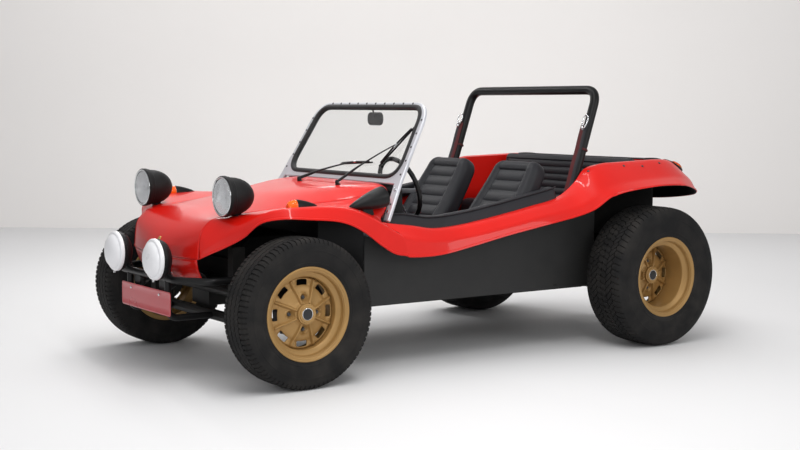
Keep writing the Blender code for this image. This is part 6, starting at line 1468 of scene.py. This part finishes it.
def beltLoop(centre, rise, low, high):
    # Two arcs joined by the straight runs that touch both circles.
    lean = math.asin((low - high) / rise)
    around = np.linspace(lean, -math.pi - lean, 30)
    over = np.linspace(math.pi - lean, lean, 20)
    x = np.concatenate((np.cos(around) * low, np.cos(over) * high))
    z = np.concatenate((np.sin(around) * low, np.sin(over) * high + rise))
    return resample(centre + np.stack((x, 0 * x, z), -1), 90, True)


def buildEngine():
    # Prisms for case, fins, heads and covers, turned parts for the rest, by what each is made of.
    s = engineSpec
    low, _ = nodeBox("engine")
    front, crank = low[1], low[2] + s["crankRise"]
    middle, beltY = front + s["halfLength"], front + s["beltAt"]
    alloy = [prism(boxOutline(s["caseHalf"], 0.093, 0.030), 2 * s["halfLength"] - 0.008, (0, middle, crank),
                   xWay, zWay, 0.010)]
    black, steel = [], []
    for _, sign in sides:
        for row in (-s["row"], s["row"]):
            at = np.array((0.0, middle + row, crank))
            barrel = ((0.125, 0.0), (0.125, s["barrel"]), (0.275, s["barrel"]), (0.275, 0.0))
            alloy.append(lathe(barrel, 24, at, (sign, 0, 0)))
            alloy += [prism(boxOutline(s["finHalf"], s["finHalf"], 0.024), 0.0042,
                            at + (sign * (s["finFrom"] + k * s["finPitch"]), 0, 0), yWay, zWay, 0.0012)
                      for k in range(s["fins"])]
        alloy.append(prism(boxOutline(0.140, 0.063, 0.014), 0.030, (sign * s["headAt"], middle, crank),
                           yWay, zWay, 0.004))
        black.append(prism(boxOutline(0.126, 0.046, 0.020), 0.026, (sign * s["coverAt"], middle, crank - 0.006),
                           yWay, zWay, 0.008))
        bail = [(sign * (s[key] + 0.016), middle, crank + rise) for key, rise in (
            ("headAt", 0.052), ("coverAt", 0.030), ("coverAt", -0.042), ("headAt", -0.060))]
        steel.append(sweep(rounded(bail, 0.010), 0.0028, 8, yWay))
    foot, shroudAt = crank + s["shroudRise"], front + s["shroudAt"]
    half = milli(300, 0, 300, 70, 262, 135, 190, 225, 105, 268)
    shroud = rounded(np.concatenate((half, (half * (-1, 1))[::-1])), 0.045, 6, True)
    black.append(prism(shroud, s["shroudDepth"], (0, shroudAt, foot), xWay, zWay, 0.016))
    fanAt = np.array((0.0, shroudAt + s["shroudDepth"] / 2 - 0.002, foot + s["fanRise"]))
    black.append(lathe(milli(0, 0, 0, 112, 10, 108, 14, 100, 14, 94, 8, 88, 5, 60, 5, 0), 56, fanAt, yWay))
    end = (beltY - fanAt[1] - 0.014) * 1000   # the generator's length in millimetres
    steel.append(lathe(milli(0, 0, 0, 36, 10, 46, 30, 46.5, 32, 44.5, end - 40, 44.5, end - 38, 46.5,
                             end - 20, 46.5, end - 6, 36, end, 14, end, 0), 40, fanAt, yWay))
    steel.append(lathe(milli(0, 0, 0, 40, 20, 34, 130, 30, 150, 36, 150, 0), 28,
                       (0, middle + 0.025, crank + 0.088), zWay))
    steel.append(pulley(s["smallPulley"], (0, beltY, foot + s["fanRise"])))
    steel.append(pulley(s["bigPulley"], (0, beltY, crank)))
    pipe = [(x, middle + y, crank + z) for x, y, z in (
        (-0.284, 0, 0.060), (-0.270, 0.040, 0.135), (0.270, 0.040, 0.135), (0.284, 0, 0.060))]
    steel.append(sweep(rounded(pipe, 0.050, 6), 0.0145, 16, yWay))
    steel.append(lathe(milli(0, 0, 0, 26, 10, 26, 14, 20, 30, 20, 34, 30, 70, 32, 74, 24, 98, 24, 98, 0), 28,
                       (0.130, middle + 0.045, crank + 0.140), zWay))
    black.append(lathe(milli(0, 0, 0, 30, 6, 66, 12, 71, 44, 71, 50, 66, 58, 30, 62, 12, 62, 0), 44,
                       (0.130, middle + 0.045, crank + 0.234), zWay))
    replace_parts(addPiece("engineCase", joinParts(alloy), "engineAlloy", angle=35.0), "engine")
    addPiece("engineCovers", joinParts(black), "satinBlack", angle=35.0)
    addPiece("engineGenerator", joinParts(steel), "steelDark", angle=35.0)
    loop = beltLoop((0, beltY, crank), s["shroudRise"] + s["fanRise"], s["bigPulley"] - s["beltDepth"],
                    s["smallPulley"] - s["beltDepth"])
    addPiece("engineBelt", sweep(loop, 0.0052, 8, yWay, True), "rubberSeal")


buildEngine()
print("engine built")


# Studio: the nodes that stay get their finishes, then floor, wall, lamps and camera

nodeFinish = {
    "body_red": "bodyRed", "trim_black": "satinBlack", "vinyl_black": "vinyl", "bronze": "bronze",
    "chassis_black": "chassisBlack", "tyre": "tyreRubber", "engine_alloy": "engineAlloy", "glass": "paneGlass",
    "frame_silver": "silver", "lamp_white": "lampWhite", "lamp_orange": "amberLens", "plate_red": "plateRed",
}
slotOfNode = {part["node"]: part["material_slot"] for part in frame["record"]["subparts"]}
for name, item in nodes.items():
    item.data.materials.clear()
    finish = "sideBlack" if name.startswith("side_panel") else nodeFinish[slotOfNode[name]]
    item.data.materials.append(look[finish])

studioSpec = {
    "floorColour": (0.735, 0.735, 0.74), "wallColour": (0.88, 0.855, 0.835), "wallDistance": 6.5,
    "wallHeight": 12.0, "floorSize": 60.0, "worldLight": 0.45, "worldColour": (0.93, 0.94, 0.96),
}
cameraSpec = {
    "place": (5.598, -4.050, 1.209), "yaw": math.radians(144.33), "pitch": math.radians(-4.906),
    "roll": math.radians(0.467), "lens": 59.6, "sensor": 36.0, "reach": 100.0,
}
lampTable = (
    # name, place, aim, size across, size along, watts, colour, seen in reflections
    ("ceilingPanel", (1.2, -1.0, 4.3), (0.0, -0.1, 0.0), 2.6, 5.0, 105.0, (1.0, 0.985, 0.97), False),
    ("ceilingFar", (-2.6, 1.6, 4.3), (0.0, 0.3, 0.2), 2.4, 4.2, 75.0, (1.0, 0.985, 0.97), False),
    ("frontFill", (4.8, -5.6, 2.6), (0.0, -0.6, 0.4), 3.0, 2.2, 80.0, (0.98, 0.99, 1.0), True),
    ("sideFill", (6.2, 2.2, 2.8), (0.2, 0.4, 0.4), 3.0, 2.2, 60.0, (1.0, 0.99, 0.98), True),
    ("stripNear", (1.9, -0.9, 3.1), (0.2, -0.3, 0.5), 0.14, 4.2, 32.0, (1.0, 1.0, 1.0), True),
    ("stripFar", (-1.6, -0.2, 3.3), (0.0, -0.1, 0.5), 0.14, 4.2, 32.0, (1.0, 1.0, 1.0), True),
    ("wallWash", (-3.1, 2.25, 3.9), (-5.3, 3.8, 0.0), 9.0, 0.8, 72.0, (1.0, 0.99, 0.985), False),
)


def stageSheet(name, corners, paint, colour, roughness, mottle):
    # One quad in a paint whose colour varies as a soft noise. From behind it is clear, so that the
    # car can be looked at from any side.
    material, tree, shader, place = newMaterial(paint)
    cloud = addNode(tree, "TexNoise", {"Vector": place, "Scale": 0.6, "Detail": 6.0})
    behind = addNode(tree, "NewGeometry", {}).outputs["Backfacing"]
    setInputs(tree, shader, {
        "Roughness": roughness, "Alpha": remap(tree, behind, 0.0, 1.0, 1.0, 0.0),
        "Base Color": blend(tree, cloud.outputs[0], lighter(colour, 1 - mottle),
                            lighter(colour, 1 + mottle))})
    mesh = bpy.data.meshes.new(name)
    mesh.from_pydata(corners, [], [(0, 1, 2, 3)])
    mesh.materials.append(material)
    item = bpy.data.objects.new(name, mesh)
    bpy.context.scene.collection.objects.link(item)


def buildStudio():
    # A level floor, and a wall square to the camera's view at its distance from the car.
    s, half, yaw = studioSpec, studioSpec["floorSize"] / 2, cameraSpec["yaw"]
    floor = [(x * half, y * half, 0) for x, y in ((-1, -1), (1, -1), (1, 1), (-1, 1))]
    stageSheet("floor", floor, "floorPaint", s["floorColour"], 0.65, 0.012)
    ahead = np.array((math.cos(yaw), math.sin(yaw), 0))
    across = np.array((math.sin(yaw), -math.cos(yaw), 0))
    low = ahead * s["wallDistance"] - zWay * 0.001
    wall = [low + across * half * x + zWay * s["wallHeight"] * z
            for x, z in ((-1, 0), (1, 0), (1, 1), (-1, 1))]
    stageSheet("backWall", wall, "wallPaint", s["wallColour"], 0.8, 0.02)


def buildLamps():
    # Flat panels turned to face their aims.
    for name, place, aim, wide, tall, watts, colour, mirrored in lampTable:
        lamp = bpy.data.lights.new(name, "AREA")
        lamp.shape = "RECTANGLE"
        lamp.size, lamp.size_y, lamp.energy, lamp.color = wide, tall, watts, colour
        item = bpy.data.objects.new(name, lamp)
        bpy.context.scene.collection.objects.link(item)
        item.location, item.visible_glossy = place, mirrored
        item.rotation_euler = (Vector(aim) - Vector(place)).to_track_quat("-Z", "Y").to_euler()


def buildWorld():
    # An even grey light from all around.
    world = bpy.data.worlds.new("room")
    world.use_nodes = True
    setInputs(world.node_tree, world.node_tree.nodes["Background"], {
        "Color": (*studioSpec["worldColour"], 1.0), "Strength": studioSpec["worldLight"]})
    bpy.context.scene.world = world


def buildCamera():
    # Its axes from yaw and pitch, then turned about the view by the roll.
    s = cameraSpec
    yaw, pitch, roll = s["yaw"], s["pitch"], s["roll"]
    ahead = np.array((math.cos(yaw) * math.cos(pitch), math.sin(yaw) * math.cos(pitch), math.sin(pitch)))
    right = np.array((math.sin(yaw), -math.cos(yaw), 0.0))
    up = np.cross(right, ahead)
    turn = np.stack((math.cos(roll) * right + math.sin(roll) * up,
                     math.cos(roll) * up - math.sin(roll) * right, -ahead), 1)
    lens = bpy.data.cameras.new("photoCamera")
    lens.lens, lens.sensor_width, lens.clip_end = s["lens"], s["sensor"], s["reach"]
    item = bpy.data.objects.new("photoCamera", lens)
    bpy.context.scene.collection.objects.link(item)
    item.matrix_world = Matrix.Translation(s["place"]) @ Matrix(turn.tolist()).to_4x4()
    bpy.context.scene.camera = item


buildStudio()
buildLamps()
buildWorld()
buildCamera()
bpy.context.scene.view_settings.view_transform = "Standard"
bpy.context.view_layer.update()
